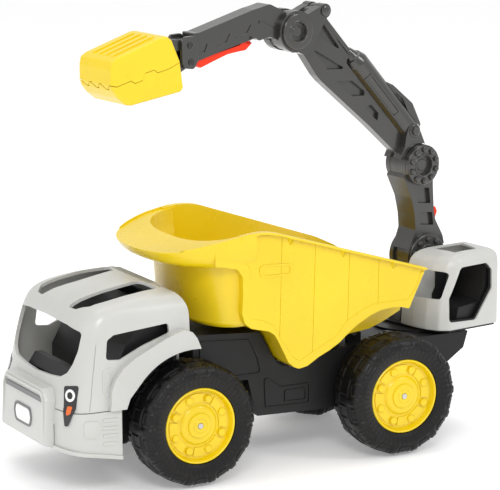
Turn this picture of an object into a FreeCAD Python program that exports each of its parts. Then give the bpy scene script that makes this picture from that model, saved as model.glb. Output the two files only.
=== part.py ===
import FreeCAD, Part

import math
import os

from FreeCAD import Placement, Rotation, Vector

# Toy dump truck with a small excavator on its tail. Millimetres, +X forward, +Y to the
# driver's left, +Z up. The truck stands on the floor, z = 0.

DIMENSIONS = {
    "centre_shift": 2.36,
    "wheel_base": 316,
    "tyre_radius": 85,
    "tyre_width": 66,
    "wheel_plane": 114,
    "rim_radius": 52.3,
    "hub_radius": 51.8,
    "hub_bolts": 8,
    "axle_radius": 4.75,
    "axle_length": 246,
    "running_gap": 0.08,
    "wall": 3.5,
    "chassis_half_width": 76,
    "cab_half_width": 117,
    "bed_half_width": 112,
    "bed_hinge_x": -128,
    "bed_hinge_z": 160,
    "bed_pin_radius": 4,
    "turret_x": -250,
    "turret_swing": 8,
    "deck_height": 147,
    "post_radius": 16,
    "arm_middle": -14,
    "web_half": 13.5,
    "tongue_half": 13,
    "cheek_out": 21,
    "ring_thickness": 2.8,
    "pin_radius": 6,
    "shoulder_radius": 34,
    "elbow_radius": 29.2,
    "wrist_radius": 28.5,
    "tongue_radius": 27,
    "barrel_radius": 16,
    "rod_radius": 5.5,
    "upper_web_half": 8,
    "small_pin_radius": 3,
    "bucket_half_width": 38,
}

doc = FreeCAD.newDocument("digger")
sheet = doc.addObject("Spreadsheet::Sheet", "sizes")
for row, (alias, value) in enumerate(DIMENSIONS.items(), 1):
    sheet.set(f"A{row}", alias)
    sheet.set(f"B{row}", str(value))
    sheet.setAlias(f"B{row}", alias)
doc.recompute()


def size(alias):
    return float(sheet.get(alias))


# Pivot points of the arm, (x, z) in the turret's own frame.
SHOULDER = (-28, 243)
ELBOW = (-16, 377)
WRIST = (206, 583.5)
ROD_EYE = (158, 608)
BARREL_EYE = (-6, 426)
UPPER_JAW_PIN = (381.5, 579)
LOWER_JAW_PIN = (380, 556.6)
TRIGGER_PIN = (279, 580)
LEVER_PIN = (-36, 300)

AXLE_HEIGHT = size("tyre_radius")
FRONT = size("wheel_base") / 2
REAR = -FRONT
MIDDLE = size("arm_middle")
WEB = size("web_half")
UPPER = size("upper_web_half")
TONGUE = size("tongue_half")
CHEEK = size("cheek_out")
WALL = size("wall")

VEHICLE = Placement(Vector(size("centre_shift"), 0, 0), Rotation())
TURRET = VEHICLE.multiply(
    Placement(Vector(size("turret_x"), 0, 0), Rotation(Vector(0, 0, 1), size("turret_swing")))
)
ARM = TURRET.multiply(Placement(Vector(0, MIDDLE, 0), Rotation()))

ALONG_Y = Rotation(Vector(1, 0, 0), -90)
FORWARD = Vector(1, 0, 0)
UP = Vector(0, 0, 1)
LEFT = Vector(0, 1, 0)

nodes = []


# ---------------------------------------------------------------- building blocks


def node(thing, label):
    """Names a finished piece and remembers it for the export."""
    thing.Label = label
    nodes.append(thing)
    return thing


def shaped(label, shape, frame=VEHICLE):
    """A piece whose form is lofted or carved in code."""
    thing = doc.addObject("Part::Feature", label)
    thing.Shape = shape
    thing.Placement = frame
    return node(thing, label)


def prism_y(outline, low, high):
    """A slab whose outline is drawn in X and Z."""
    wire = Part.makePolygon([Vector(x, low, z) for x, z in list(outline) + [outline[0]]])
    return Part.Face(wire).extrude(Vector(0, high - low, 0))


def prism_x(outline, low, high):
    """A slab whose outline is drawn in Y and Z."""
    wire = Part.makePolygon([Vector(low, y, z) for y, z in list(outline) + [outline[0]]])
    return Part.Face(wire).extrude(Vector(high - low, 0, 0))


def prism_z(outline, low, high):
    """A slab whose outline is drawn in X and Y."""
    wire = Part.makePolygon([Vector(x, y, low) for x, y in list(outline) + [outline[0]]])
    return Part.Face(wire).extrude(Vector(0, 0, high - low))


def disc_y(centre, radius, low, high):
    """A cylinder along Y about a point given in X and Z."""
    return Part.makeCylinder(radius, high - low, Vector(centre[0], low, centre[1]), LEFT)


def box(low, high):
    return Part.makeBox(high[0] - low[0], high[1] - low[1], high[2] - low[2], Vector(*low))


def joined(shapes):
    first, rest = shapes[0], shapes[1:]
    return first.fuse(rest).removeSplitter() if rest else first


def mirrored(outline):
    """The outline followed by its own mirror image across the first axis."""
    return list(outline) + [(-a, b) for a, b in reversed(outline)]


def shifted_line(points, distance):
    """An open line moved sideways, to its left, by a distance."""
    result = []
    for i, (x, z) in enumerate(points):
        before = points[max(i - 1, 0)]
        after = points[min(i + 1, len(points) - 1)]
        run = (after[0] - before[0], after[1] - before[1])
        length = math.hypot(*run)
        result.append((x - distance * run[1] / length, z + distance * run[0] / length))
    return result


def origin_plane(body, role):
    return next(f for f in body.Origin.OriginFeatures if f.Role == role)


def sketch_on(body, name, role, offset=0.0):
    sketch = body.newObject("Sketcher::SketchObject", name)
    sketch.AttachmentSupport = [(origin_plane(body, role), "")]
    sketch.MapMode = "FlatFace"
    sketch.AttachmentOffset = Placement(Vector(0, 0, offset), Rotation())
    return sketch


def draw_loop(sketch, points):
    for a, b in zip(points, points[1:] + points[:1]):
        line = Part.LineSegment(Vector(a[0], a[1], 0), Vector(b[0], b[1], 0))
        sketch.addGeometry(line, False)


def draw_circle(sketch, centre, radius):
    sketch.addGeometry(Part.Circle(Vector(centre[0], centre[1], 0), UP, radius), False)


def new_body(label, frame):
    body = doc.addObject("PartDesign::Body", label)
    body.Placement = frame
    return node(body, label)


def slab(body, name, low, high, outline=None, circle=None, cut=False):
    """Pads or pockets an outline or a circle, drawn in X and Z, between two values of Y."""
    sketch = sketch_on(body, name + "_sketch", "XZ_Plane", -(low + high) / 2)
    if outline:
        draw_loop(sketch, outline)
    if circle:
        draw_circle(sketch, circle[0], circle[1])
    kind = "PartDesign::Pocket" if cut else "PartDesign::Pad"
    feature = body.newObject(kind, name)
    feature.Profile = sketch
    feature.SideType = "Symmetric"
    feature.Length = high - low
    return feature


def turned(label, frame, loops):
    """A body of revolution about Y, from closed loops of (y, radius)."""
    body = new_body(label, frame)
    sketch = sketch_on(body, label + "_profile", "YZ_Plane")
    for loop in loops:
        draw_loop(sketch, loop)
    turn = body.newObject("PartDesign::Revolution", label + "_turn")
    turn.Profile = sketch
    turn.ReferenceAxis = (sketch, ["H_Axis"])
    turn.Angle = 360
    return body


def rod_y(label, centre, length, radius_alias, frame, middle=0.0):
    """A round rod along Y, its radius taken from the sheet."""
    rod = doc.addObject("Part::Cylinder", label)
    rod.setExpression("Radius", f"sizes.{radius_alias}")
    rod.Height = length
    start = Vector(centre[0], middle - length / 2, centre[1])
    rod.Placement = frame.multiply(Placement(start, ALONG_Y))
    return node(rod, label)


# ---------------------------------------------------------------- wheels and axles


def wheel_frame(x, side):
    """A wheel's own frame: its outer face looks along +Y before it is turned."""
    place = Vector(x, side * size("wheel_plane"), AXLE_HEIGHT)
    return VEHICLE.multiply(Placement(place, Rotation(UP, 0 if side > 0 else 180)))


def make_tyre(label, frame):
    """A blown wheel: a hollow tread ring round a thin web and a long axle tube."""
    half = size("tyre_width") / 2
    tread = size("tyre_radius")
    rim = size("rim_radius")
    bore = size("axle_radius") + size("running_gap")
    skin = [
        (4, bore), (4, rim), (27, rim), (30, 57), (half, 66), (31, 76), (25, 83), (20, tread),
        (-20, tread), (-25, 83), (-31, 76), (-half, 66), (-30, 55), (-26, 50), (0, 50), (0, 14),
        (-28, 14), (-28, bore),
    ]
    cavity = [
        (25, 57), (29, 66), (27, 74), (22, 80), (18, 82),
        (-18, 82), (-22, 80), (-27, 74), (-29, 66), (-26, 56), (-22, 54), (0, 54), (6, 55.5),
    ]
    return turned(label, frame, [skin, cavity])


def make_hub(label, frame):
    """The dished yellow disc that fills the rim, with a ring of round bolt heads."""
    edge = size("hub_radius")
    dish = [
        (27.6, edge), (27.6, 48.5), (20, 46), (19, 30), (22, 26), (24, 15), (27, 13), (27, 2.2),
        (18, 2.2), (18, 10), (20, 13), (18, 24), (16, 28), (16.5, 48), (4.2, 48.6), (4.2, edge),
    ]
    body = turned(label, frame, [dish])
    head = slab(body, label + "_bolt", 18, 23.5, circle=((37, 0), 5.6))
    ring = body.newObject("PartDesign::PolarPattern", label + "_bolts")
    ring.Originals = [head]
    ring.Axis = (origin_plane(body, "Y_Axis"), [""])
    ring.Angle = 360
    ring.setExpression("Occurrences", "sizes.hub_bolts")
    body.Tip = ring
    return body


def make_hub_screw(label, frame):
    """The screw in the middle of the hub."""
    profile = [(17, 0), (17, 2.17), (27.05, 2.17), (27.05, 4.2), (28.4, 3.6), (28.4, 0)]
    return turned(label, frame, [profile])


for corner, x, side in (
    ("front_left", FRONT, 1),
    ("front_right", FRONT, -1),
    ("rear_left", REAR, 1),
    ("rear_right", REAR, -1),
):
    frame = wheel_frame(x, side)
    make_tyre("tyre_" + corner, frame)
    make_hub("hub_" + corner, frame)
    make_hub_screw("hub_screw_" + corner, frame)

rod_y("front_axle", (FRONT, AXLE_HEIGHT), size("axle_length"), "axle_radius", VEHICLE)
rod_y("rear_axle", (REAR, AXLE_HEIGHT), size("axle_length"), "axle_radius", VEHICLE)


def axle_nuts():
    """Push-on caps that keep the wheels on their axles, one at each axle end."""
    nuts = []
    for x in (FRONT, REAR):
        for side in (1, -1):
            near = side * (size("wheel_plane") + 4.5)
            far = side * (size("wheel_plane") + 9)
            low, high = sorted((near, far))
            ring = disc_y((x, AXLE_HEIGHT), 9, low, high)
            nuts.append(ring.cut(disc_y((x, AXLE_HEIGHT), size("axle_radius") + 0.01, low - 1, high + 1)))
    return Part.makeCompound(nuts)


shaped("axle_nuts", axle_nuts())


# ---------------------------------------------------------------- chassis


def chassis():
    """The black under-frame: a hollow box open below, with axle tubes and a flat rear deck."""
    half = size("chassis_half_width")
    deck = size("deck_height")
    side = [
        (135, 121), (135, 191), (34, 184), (29, 178), (14, 150), (4, 136), (-6, 131.5),
        (-20, 131.5), (-40, 137), (-72, 143), (-100, deck), (-303, deck), (-296, 124),
        (-268, 105), (-214, 66), (-60, 64), (36, 67), (45, 96), (51, 120),
    ]
    hollow = [
        (130, 117), (130, 186.8), (36, 180), (32.5, 176), (17.5, 148), (7, 133), (-5, 127.5),
        (-20, 127.5), (-40, 133), (-72, 139), (-100, deck - 4), (-298, deck - 4), (-292, 126),
        (-266, 109), (-212, 60), (-60, 60), (33, 60), (41, 98), (47, 117),
    ]
    outer = prism_y(side, -half, half)
    inner = prism_y(hollow, 4 - half, half - 4)
    nose = box((46, -60, 62), (300, 60, 124))
    nose_inner = box((40, -56, 58), (296, 56, 120))
    body = outer.fuse(nose).cut(inner).cut(nose_inner)
    tubes = []
    for x in (FRONT, REAR):
        tubes.append(disc_y((x, AXLE_HEIGHT), 9, -85.4, 85.4))
    towers = []
    hinge = (size("bed_hinge_x"), size("bed_hinge_z"))
    for sign in (1, -1):
        low, high = sorted((sign * 50, sign * 56))
        towers.append(box((hinge[0] - 11, low, deck - 2), (hinge[0] + 11, high, hinge[1])))
        towers.append(disc_y(hinge, 9, low, high))
    body = joined([body] + tubes + towers)
    for x in (FRONT, REAR):
        body = body.cut(disc_y((x, AXLE_HEIGHT), size("axle_radius") + 0.03, -90, 90))
    body = body.cut(disc_y(hinge, size("bed_pin_radius") + 0.03, -60, 60))
    post = Part.makeCylinder(
        size("post_radius") + size("running_gap"), 20, Vector(size("turret_x"), 0, deck - 10), UP
    )
    return body.cut(post)


shaped("chassis", chassis())


# ---------------------------------------------------------------- truck cab

CAB_REAR = 158
# Each level of the cab: height, nose, half width and how far the rear is drawn in.
CAB_LEVELS = [
    (116, 338, 117, 0),
    (150, 331, 115, 0),
    (218, 315, 110.5, 0),
    (244, 304, 105, 1),
    (258, 290, 95, 8),
    (268, 274, 82, 18),
    (275, 256, 64, 30),
    (279.5, 236, 44, 44),
]
BUMPER_LEVELS = [(48, 337, 118, 0), (56, 341, 121, 0), (60, 338, 118, 0), (115.6, 339, 118, 0)]


def bowed_section(height, nose, half, rear, roundness=2.6):
    """A level plan outline: flat rear, straight sides and a bowed nose."""
    start = nose - 0.48 * half
    curve = []
    steps = 14
    for i in range(steps + 1):
        angle = math.pi * (i / steps - 0.5)
        y = half * math.copysign(abs(math.sin(angle)) ** (2 / roundness), math.sin(angle))
        x = start + (nose - start) * abs(math.cos(angle)) ** (2 / roundness)
        curve.append(Vector(x, y, height))
    points = [Vector(rear, -half, height)] + curve + [Vector(rear, half, height)]
    return Part.makePolygon(points + points[:1])


def bowed_solid(levels, rear, grow=0.0):
    wires = []
    for height, nose, half, draw in levels:
        wires.append(bowed_section(height, nose + grow, half + grow, rear + draw - grow))
    return Part.makeLoft(wires, True, True)


def cab_outer(grow=0.0):
    return bowed_solid(CAB_LEVELS, CAB_REAR, grow)


def arch_cut(radius, inner, outer):
    """The round wheel opening on both sides."""
    centre = (FRONT, AXLE_HEIGHT)
    return disc_y(centre, radius, inner, outer).fuse(disc_y(centre, radius, -outer, -inner))


def cab_shell():
    """The white cab: a thin shell with a windscreen, side windows, roof lights and arches."""
    levels = [(h - WALL, n - WALL, b - WALL, d) for h, n, b, d in CAB_LEVELS[1:]]
    levels = [(100, CAB_LEVELS[0][1] - WALL, CAB_LEVELS[0][2] - WALL, 0)] + levels
    shell = cab_outer().cut(bowed_solid(levels, CAB_REAR + WALL))
    screen = mirrored([(0, 155), (62, 157), (76, 166), (84, 190), (87, 214), (80, 220), (0, 224)])
    screen = [p for i, p in enumerate(screen) if i not in (7, 13)]
    shell = shell.cut(prism_x(screen, 286, 360))
    window = [(285, 183), (279, 211), (269, 217), (189, 224), (189, 210), (240, 192), (266, 181)]
    shell = shell.cut(prism_y(window, 90, 130)).cut(prism_y(window, -130, -90))
    light = [(198, 36), (198, 88), (248, 90), (292, 78), (256, 54)]
    shell = shell.cut(prism_z(light, 230, 290))
    shell = shell.cut(prism_z([(x, -y) for x, y in light], 230, 290))
    centre = (FRONT, AXLE_HEIGHT)
    flares = []
    for low, high in ((108, 124), (-124, -108)):
        ring = disc_y(centre, 121, low, high).cut(disc_y(centre, 101, low - 1, high + 1))
        wedge = prism_y([(146, 180), (146, 220), (290, 220), (290, 116.5), (258, 116.5), (200, 140)],
                        low, high)
        flares.append(ring.common(wedge))
    hollow = bowed_solid(levels, CAB_REAR + WALL)
    shell = joined([shell] + [flare.cut(hollow) for flare in flares])
    shell = shell.cut(box((150, -60.5, 100), (175, 60.5, 124.5)))
    return shell.cut(arch_cut(101, 78, 140))


def front_bumper():
    """The lower front skirt, which runs round from one front wheel to the other."""
    outer = bowed_solid(BUMPER_LEVELS, 262)
    inner = bowed_solid([(40, 335, 114.5, 0), (125, 335, 114.5, 0)], 250)
    return outer.cut(inner)


def grille_box():
    """The square nose in front of the cab."""
    nose = [(300, 65), (350, 65), (350, 132), (343, 141), (300, 146)]
    block = prism_y(nose, -72, 72)
    block = block.cut(prism_y([(290, 69), (346, 69), (346, 130), (340, 137), (290, 141)], -68, 68))
    return block.cut(bowed_solid(BUMPER_LEVELS, 262, 0.25)).cut(cab_outer(0.25))


def headlight(sign):
    """A thin dark lamp panel that follows the corner of the cab."""
    skin = cab_outer(1.4).cut(cab_outer(0.2))
    outline = [(sign * 78, 118.5), (sign * 108, 118.5), (sign * 113, 150), (sign * 84, 153)]
    return skin.common(prism_x(outline, 290, 345))


def cab_liner():
    """The black seat block and wheel wells inside the cab."""
    seat = [(166, 125), (166, 240), (194, 240), (211, 233), (228, 216), (244, 194), (263, 160),
            (263, 125)]
    block = prism_y(seat, -95, 95)
    well = prism_y([(170, 200), (170, 245), (189, 245), (205, 230), (222, 211), (230, 200)], -91, 91)
    under = prism_y([(170, 120), (170, 196), (239, 196), (259, 158), (259, 120)], -91, 91)
    block = block.cut(well).cut(under)
    return block.cut(arch_cut(99, 77, 110)).cut(disc_y((FRONT, AXLE_HEIGHT), 60, -110, 110))


shaped("cab_shell", cab_shell())
shaped("front_bumper", front_bumper())
shaped("grille_box", grille_box())
shaped("grille_stripe", box((350.1, -61, 121), (350.7, 61, 128)))
badge_edge = Part.Ellipse(Vector(0, 0, 0), 27, 13).toShape()
badge_edge.Placement = Placement(Vector(350.1, 0, 93), Rotation(Vector(1, 1, 1), 120))
shaped("grille_badge", Part.Face(Part.Wire(badge_edge)).extrude(Vector(0.8, 0, 0)))
shaped("headlight_left", headlight(1))
shaped("headlight_right", headlight(-1))
shaped("cab_liner", cab_liner())
dash = [(298, 130), (312, 130), (316, 148), (306, 162), (296, 162)]
shaped("dashboard", prism_y(dash, -56, 56))


# ---------------------------------------------------------------- dump bed

RIM_LINE = [(-207, 256), (28, 327.5), (50, 331), (76, 330), (110, 324), (136, 318), (157, 313),
            (198, 307)]
BED_FLOOR = [(-178, 203), (-150, 207), (-124, 207), (-100, 198), (-80, 184), (-20, 144), (-4, 136),
             (8, 146), (20, 167), (28, 186), (40, 197), (77, 202)]
TROUGH_FLOOR = [(-187, 190), (-109, 172), (-30, 141), (-12, 134.5), (2, 142), (20, 170)]


def dee_section(height, nose, half, rear=60, roundness=2.5):
    """A level plan outline with a straight rear edge and a bowed front."""
    points = [Vector(rear, -half, height)]
    steps = 16
    for i in range(steps + 1):
        angle = math.pi * (i / steps - 0.5)
        y = half * math.copysign(abs(math.sin(angle)) ** (2 / roundness), math.sin(angle))
        x = rear + 12 + (nose - rear - 12) * abs(math.cos(angle)) ** (2 / roundness)
        points.append(Vector(x, y, height))
    points.append(Vector(rear, half, height))
    return Part.makePolygon(points + points[:1])


def dee_solid(levels):
    return Part.makeLoft([dee_section(*level) for level in levels], True, True)


def dump_bed():
    """The yellow skip: sloping floor, side walls over the rear wheels, bowed front and visor."""
    half = size("bed_half_width")
    walls = prism_y(BED_FLOOR + [(77, 340), (-206, 340), (-206, 256)], -half, half)
    trough = prism_y(TROUGH_FLOOR + [(20, 260), (-187, 260)], -78, 78)
    front = dee_solid([(202, 122, half), (287, 130, half)])
    visor = dee_solid([(286, 180, 114), (304, 191, 118), (340, 197, 119)])
    outer = joined([walls, trough, front, visor])
    inner_line = shifted_line(BED_FLOOR, WALL)
    inner_line[0] = (-230, 206.5)
    inner_line[-1] = (90, 205.6)
    walls_in = prism_y(inner_line + [(90, 345), (-230, 345)], WALL - half, half - WALL)
    trough_line = shifted_line(TROUGH_FLOOR, WALL)
    trough_line[0] = (-210, 199)
    trough_in = prism_y(trough_line + [(20, 265), (-210, 265)], WALL - 78, 78 - WALL)
    front_in = dee_solid([(205.6, 118.5, half - WALL), (300, 126.5, half - WALL)])
    visor_in = dee_solid([(290, 176, 110.5), (304, 187.5, 114.5), (345, 193.5, 115.5)])
    bed = outer
    for inner in (walls_in, trough_in, front_in, visor_in):
        bed = bed.cut(inner)
    above = RIM_LINE + [(210, 305), (210, 360), (-240, 360), (-240, 246)]
    bed = bed.cut(prism_y(above, -140, 140))
    rim = RIM_LINE[:4] + [(x, z - 4) for x, z in reversed(RIM_LINE[:4])]
    for low, high in ((half - 1, 119.5), (-119.5, 1 - half)):
        bed = bed.fuse(prism_y(rim, low, high))
    hinge = (size("bed_hinge_x"), size("bed_hinge_z"))
    for low, high in ((43.5, 49.5), (-49.5, -43.5)):
        ear = disc_y(hinge, 9, low, high)
        ear = ear.fuse(box((hinge[0] - 9, low, hinge[1]), (hinge[0] + 9, high, hinge[1] + 22)))
        bed = bed.fuse(ear.cut(trough_in))
    bed = bed.removeSplitter()
    return bed.cut(disc_y(hinge, size("bed_pin_radius") + size("running_gap"), -60, 60))


shaped("dump_bed", dump_bed())
rod_y("bed_hinge_pin", (size("bed_hinge_x"), size("bed_hinge_z")), 114, "bed_pin_radius", VEHICLE)


# ---------------------------------------------------------------- turntable and digger cab


def turntable_base():
    """The wear ring under the turret."""
    start = Vector(size("turret_x"), 0, size("deck_height"))
    ring = Part.makeCylinder(50, 3, start, UP)
    return ring.cut(Part.makeCylinder(size("post_radius") + 3, 4, start, UP))


PLATFORM_TOP = 153.4


def turret_platform():
    plan = [(-88, -8), (-88, 86), (-4, 86), (10, 72), (20, 44), (24, 0), (24, -40), (-66, -40)]
    plate = prism_z(plan, 150.4, PLATFORM_TOP)
    post = Part.makeCylinder(size("post_radius"), 10, Vector(0, 0, 142.4), UP)
    return joined([plate, post])


def turret_washer():
    """The disc and screw that hold the turret down."""
    disc = Part.makeCylinder(22, 3.4, Vector(0, 0, 139), UP)
    return disc.fuse(Part.makeCylinder(6, 3, Vector(0, 0, 136), UP)).removeSplitter()


DIGGER_CAB_PLAN = [(-94, 14), (25, 14), (24, 40), (20, 62), (11, 80), (-3, 90), (-94, 90)]
DIGGER_CAB_LEVELS = [(153.6, 0, 0), (200, 0, 4), (240, 0, 13), (252, 3, 19), (259, 9, 24), (262, 18, 30)]


def digger_cab_solid(shrink):
    """The cab's outline raised through its levels: height, inset all round and front setback."""
    wires = []
    for height, inset, setback in DIGGER_CAB_LEVELS:
        points = []
        for x, y in DIGGER_CAB_PLAN:
            side = inset + shrink
            front = x > -50
            px = x - setback - side if front else x + side + 0.2 * inset
            py = min(max(y, 14 + side), 90 - side)
            points.append(Vector(px, py, height - (shrink if height > 250 else 0)))
        wires.append(Part.makePolygon(points + points[:1]))
    return Part.makeLoft(wires, True, True)


def digger_cab():
    inner = digger_cab_solid(WALL)
    floor = inner.copy()
    floor.translate(Vector(0, 0, -6))
    shell = digger_cab_solid(0).cut(inner).cut(floor)
    window = [(-21, 241), (-70, 242), (-79, 231), (-79, 205), (-50, 164), (-3, 166), (-3, 199)]
    shell = shell.cut(prism_y(window, 80, 100))
    screen = [(26, 198), (78, 198), (82, 234), (26, 238)]
    shell = shell.cut(prism_x(screen, -10, 40))
    light = [(-70, 34), (-14, 34), (-20, 76), (-66, 76)]
    return shell.cut(prism_z(light, 250, 270))


def digger_seat():
    foot = PLATFORM_TOP + 0.2
    seat = [(-88, foot), (-88, 232), (-78, 236), (-66, 186), (-26, 182), (-20, foot)]
    under = [(-84, 150), (-84, 182), (-68, 182), (-29, 178), (-24, 150)]
    return prism_y(seat, 22, 80).cut(prism_y(under, 26, 76))


def shoulder_tower():
    """The fixed post between the cheeks of the lower boom."""
    low, high = MIDDLE - TONGUE, MIDDLE + TONGUE
    post = prism_y([(-64, 153.6), (14, 153.6), (1, 236), (-56, 236)], low, high)
    post = post.fuse(disc_y(SHOULDER, 30, low, high)).removeSplitter()
    post = post.cut(prism_y([(-59, 150), (9, 150), (0, 205), (-54, 205)], low + 4, high - 4))
    return post.cut(disc_y(SHOULDER, size("pin_radius") + 0.03, low - 1, high + 1))


shaped("turntable_base", turntable_base())
shaped("turret_platform", turret_platform(), TURRET)
shaped("turret_washer", turret_washer(), TURRET)
shaped("digger_cab", digger_cab(), TURRET)
shaped("digger_seat", digger_seat(), TURRET)
shaped("shoulder_tower", shoulder_tower(), TURRET)
rod_y("shoulder_pin", SHOULDER, 2 * CHEEK - 1, "pin_radius", ARM)


# ---------------------------------------------------------------- lower boom


def side_span(side, near, far):
    """The span of Y, about the arm's middle plane, of a layer on one side of it."""
    return tuple(sorted((side * near, side * far)))


LOWER_WEB = [(-42, 353), (-40, 338), (-46, 311), (-50, 293), (-64, 269), (-68, 255), (4, 255),
             (-4, 270), (-9, 283), (-7, 305), (-1, 330), (14, 362), (8, 368), (-36, 368)]
SHOULDER_CHEEK = [(-60, 255), (-56, 282), (-44, 300), (-12, 300), (-7, 282), (4, 250)]
ELBOW_CHEEK = [(-42, 368), (-40, 350), (-42, 322), (-6, 322), (8, 350), (11, 368)]


def lower_boom(label, side):
    body = new_body(label, ARM)
    slab(body, label + "_web", *side_span(side, 0, WEB), outline=LOWER_WEB)
    slab(body, label + "_shoulder_room", *side_span(side, -1, 30), circle=(SHOULDER, 31.5), cut=True)
    slab(body, label + "_elbow_room", *side_span(side, -1, 30), circle=(ELBOW, 28.5), cut=True)
    slab(body, label + "_lever_slot", *side_span(side, -1, 7),
         outline=[(-70, 282), (-70, 320), (-24, 320), (-24, 282)], cut=True)
    cheek = side_span(side, WEB, CHEEK)
    slab(body, label + "_shoulder_tail", *cheek, outline=SHOULDER_CHEEK)
    slab(body, label + "_shoulder_disc", *cheek, circle=(SHOULDER, size("shoulder_radius")))
    slab(body, label + "_elbow_tail", *cheek, outline=ELBOW_CHEEK)
    slab(body, label + "_elbow_disc", *cheek, circle=(ELBOW, size("elbow_radius")))
    turning = size("pin_radius") + size("running_gap")
    held = size("pin_radius") + 0.03
    slab(body, label + "_shoulder_bore", *side_span(side, 10, 30), circle=(SHOULDER, turning), cut=True)
    slab(body, label + "_elbow_bore", *side_span(side, 10, 30), circle=(ELBOW, held), cut=True)
    slab(body, label + "_lever_bore", *side_span(side, -1, 10.5), circle=(LEVER_PIN, 2.03), cut=True)
    return body


def bolt_ring(centre, radius, hole, bolts, bolt_circle):
    """A pair of round cover plates with bolt heads, one for each side of a joint."""
    plates = []
    for side in (1, -1):
        low, high = side_span(side, CHEEK + 0.05, CHEEK + size("ring_thickness"))
        plate = disc_y(centre, radius, low, high)
        if hole:
            plate = plate.cut(disc_y(centre, hole, *side_span(side, CHEEK + 1.2, CHEEK + 9)))
        for i in range(bolts):
            angle = 2 * math.pi * (i + 0.5) / bolts
            spot = (centre[0] + bolt_circle * math.cos(angle), centre[1] + bolt_circle * math.sin(angle))
            plate = plate.fuse(disc_y(spot, 3.4, *side_span(side, CHEEK + 1, CHEEK + 4.6)))
        plates.append(plate.removeSplitter())
    return Part.makeCompound(plates)


lower_boom("lower_boom_left", 1)
lower_boom("lower_boom_right", -1)
shaped("shoulder_rings", bolt_ring(SHOULDER, 32.5, 15, 10, 27), ARM)
shaped("elbow_rings", bolt_ring(ELBOW, 28, 15.5, 10, 23.5), ARM)
rod_y("elbow_pin", ELBOW, 2 * CHEEK - 1, "pin_radius", ARM)

lever = new_body("lock_lever", ARM)
slab(lever, "lever_blade", -6, 6,
     outline=[(-30, 294), (-30, 306), (-44, 308), (-53, 311), (-57, 303), (-52, 292), (-42, 294)])
slab(lever, "lever_bore_cut", -8, 8, circle=(LEVER_PIN, 2.08), cut=True)
lever_pin = Part.makeCylinder(2, 20, Vector(LEVER_PIN[0], -10, LEVER_PIN[1]), LEFT)
shaped("lever_pin", lever_pin, ARM)


# ---------------------------------------------------------------- upper boom

BOOM_RUN = Vector(WRIST[0] - ELBOW[0], 0, WRIST[1] - ELBOW[1])
BOOM_LENGTH = BOOM_RUN.Length
ROD_RUN = Vector(ROD_EYE[0] - BARREL_EYE[0], 0, ROD_EYE[1] - BARREL_EYE[1])


def boom_point(along, above):
    """A point given along the boom from the elbow and square to it, as (x, z)."""
    ux, uz = BOOM_RUN.x / BOOM_LENGTH, BOOM_RUN.z / BOOM_LENGTH
    return ELBOW[0] + along * ux - above * uz, ELBOW[1] + along * uz + above * ux


def along_rod(start, end, radius):
    """A cylinder on the line from the barrel's eye to the rod's eye."""
    way = Vector(ROD_RUN).normalize()
    base = Vector(BARREL_EYE[0], 0, BARREL_EYE[1]) + way * start
    return Part.makeCylinder(radius, end - start, base, way)


UPPER_HOLLOW = [(44, -6), (120, -12), (200, -16.5), (228, -17), (258, -12), (262, 18), (240, 28), (200, 22),
                (120, 14), (60, 8), (44, 6)]
UPPER_WEB = [(10, -12), (24, -11), (120, -17), (200, -21.5), (226, -22), (262, -17), (285, -8), (290, 20),
             (298, 40), (290, 52), (270, 44), (228, 38), (190, 36), (130, 42), (66, 52), (40, 44),
             (24, 38), (6, 20)]
WRIST_CHEEK = [(225, -21), (262, -20), (290, -24), (303, 10), (305, 26), (297, 42), (288, 60), (276, 54),
               (268, 30), (240, 10)]
BARREL_LUG = [(-42, 388), (-24, 400), (-17, 426), (-12, 436), (-2, 437), (5, 430), (8, 418), (14, 404),
              (20, 388)]
LUG = 18


def upper_boom(side):
    web = prism_y([boom_point(*p) for p in UPPER_WEB], *side_span(side, 0, UPPER))
    web = web.cut(disc_y(ELBOW, 30.2, -30, 30))
    neck = prism_y([boom_point(*p) for p in ((0, -18), (36, -11), (40, 40), (0, 18))],
                   *side_span(side, 0, TONGUE))
    tongue = disc_y(ELBOW, size("tongue_radius"), *side_span(side, 0, TONGUE))
    cheek = prism_y([boom_point(*p) for p in WRIST_CHEEK], *side_span(side, UPPER, CHEEK))
    disc = disc_y(WRIST, size("wrist_radius"), *side_span(side, WEB, CHEEK))
    eye = disc_y(ROD_EYE, 9, *side_span(side, UPPER, CHEEK))
    lug = prism_y(BARREL_LUG, *side_span(side, UPPER, LUG)).cut(disc_y(ELBOW, 30.2, -30, 30))
    boom = joined([web, neck, tongue, cheek, disc, eye, lug])
    boom = boom.cut(disc_y(WRIST, 28.5, *side_span(side, -1, WEB)))
    boom = boom.cut(prism_y([boom_point(*p) for p in UPPER_HOLLOW], *side_span(side, -1, 5)))
    boom = boom.cut(along_rod(20, 158, size("barrel_radius") + 0.2))
    boom = boom.cut(along_rod(150, 236, size("rod_radius") + 0.3))
    boom = boom.cut(disc_y(ROD_EYE, 9.5, -9, 9)).cut(disc_y(BARREL_EYE, 9.5, -9, 9))
    boom = boom.cut(along_rod(0, 24, 9.5))
    boom = boom.cut(disc_y(ELBOW, size("pin_radius") + size("running_gap"), -30, 30))
    boom = boom.cut(disc_y(WRIST, size("pin_radius") + 0.03, -30, 30))
    for eye_centre in (ROD_EYE, BARREL_EYE):
        boom = boom.cut(disc_y(eye_centre, size("small_pin_radius") + 0.03, -30, 30))
    return boom


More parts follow.
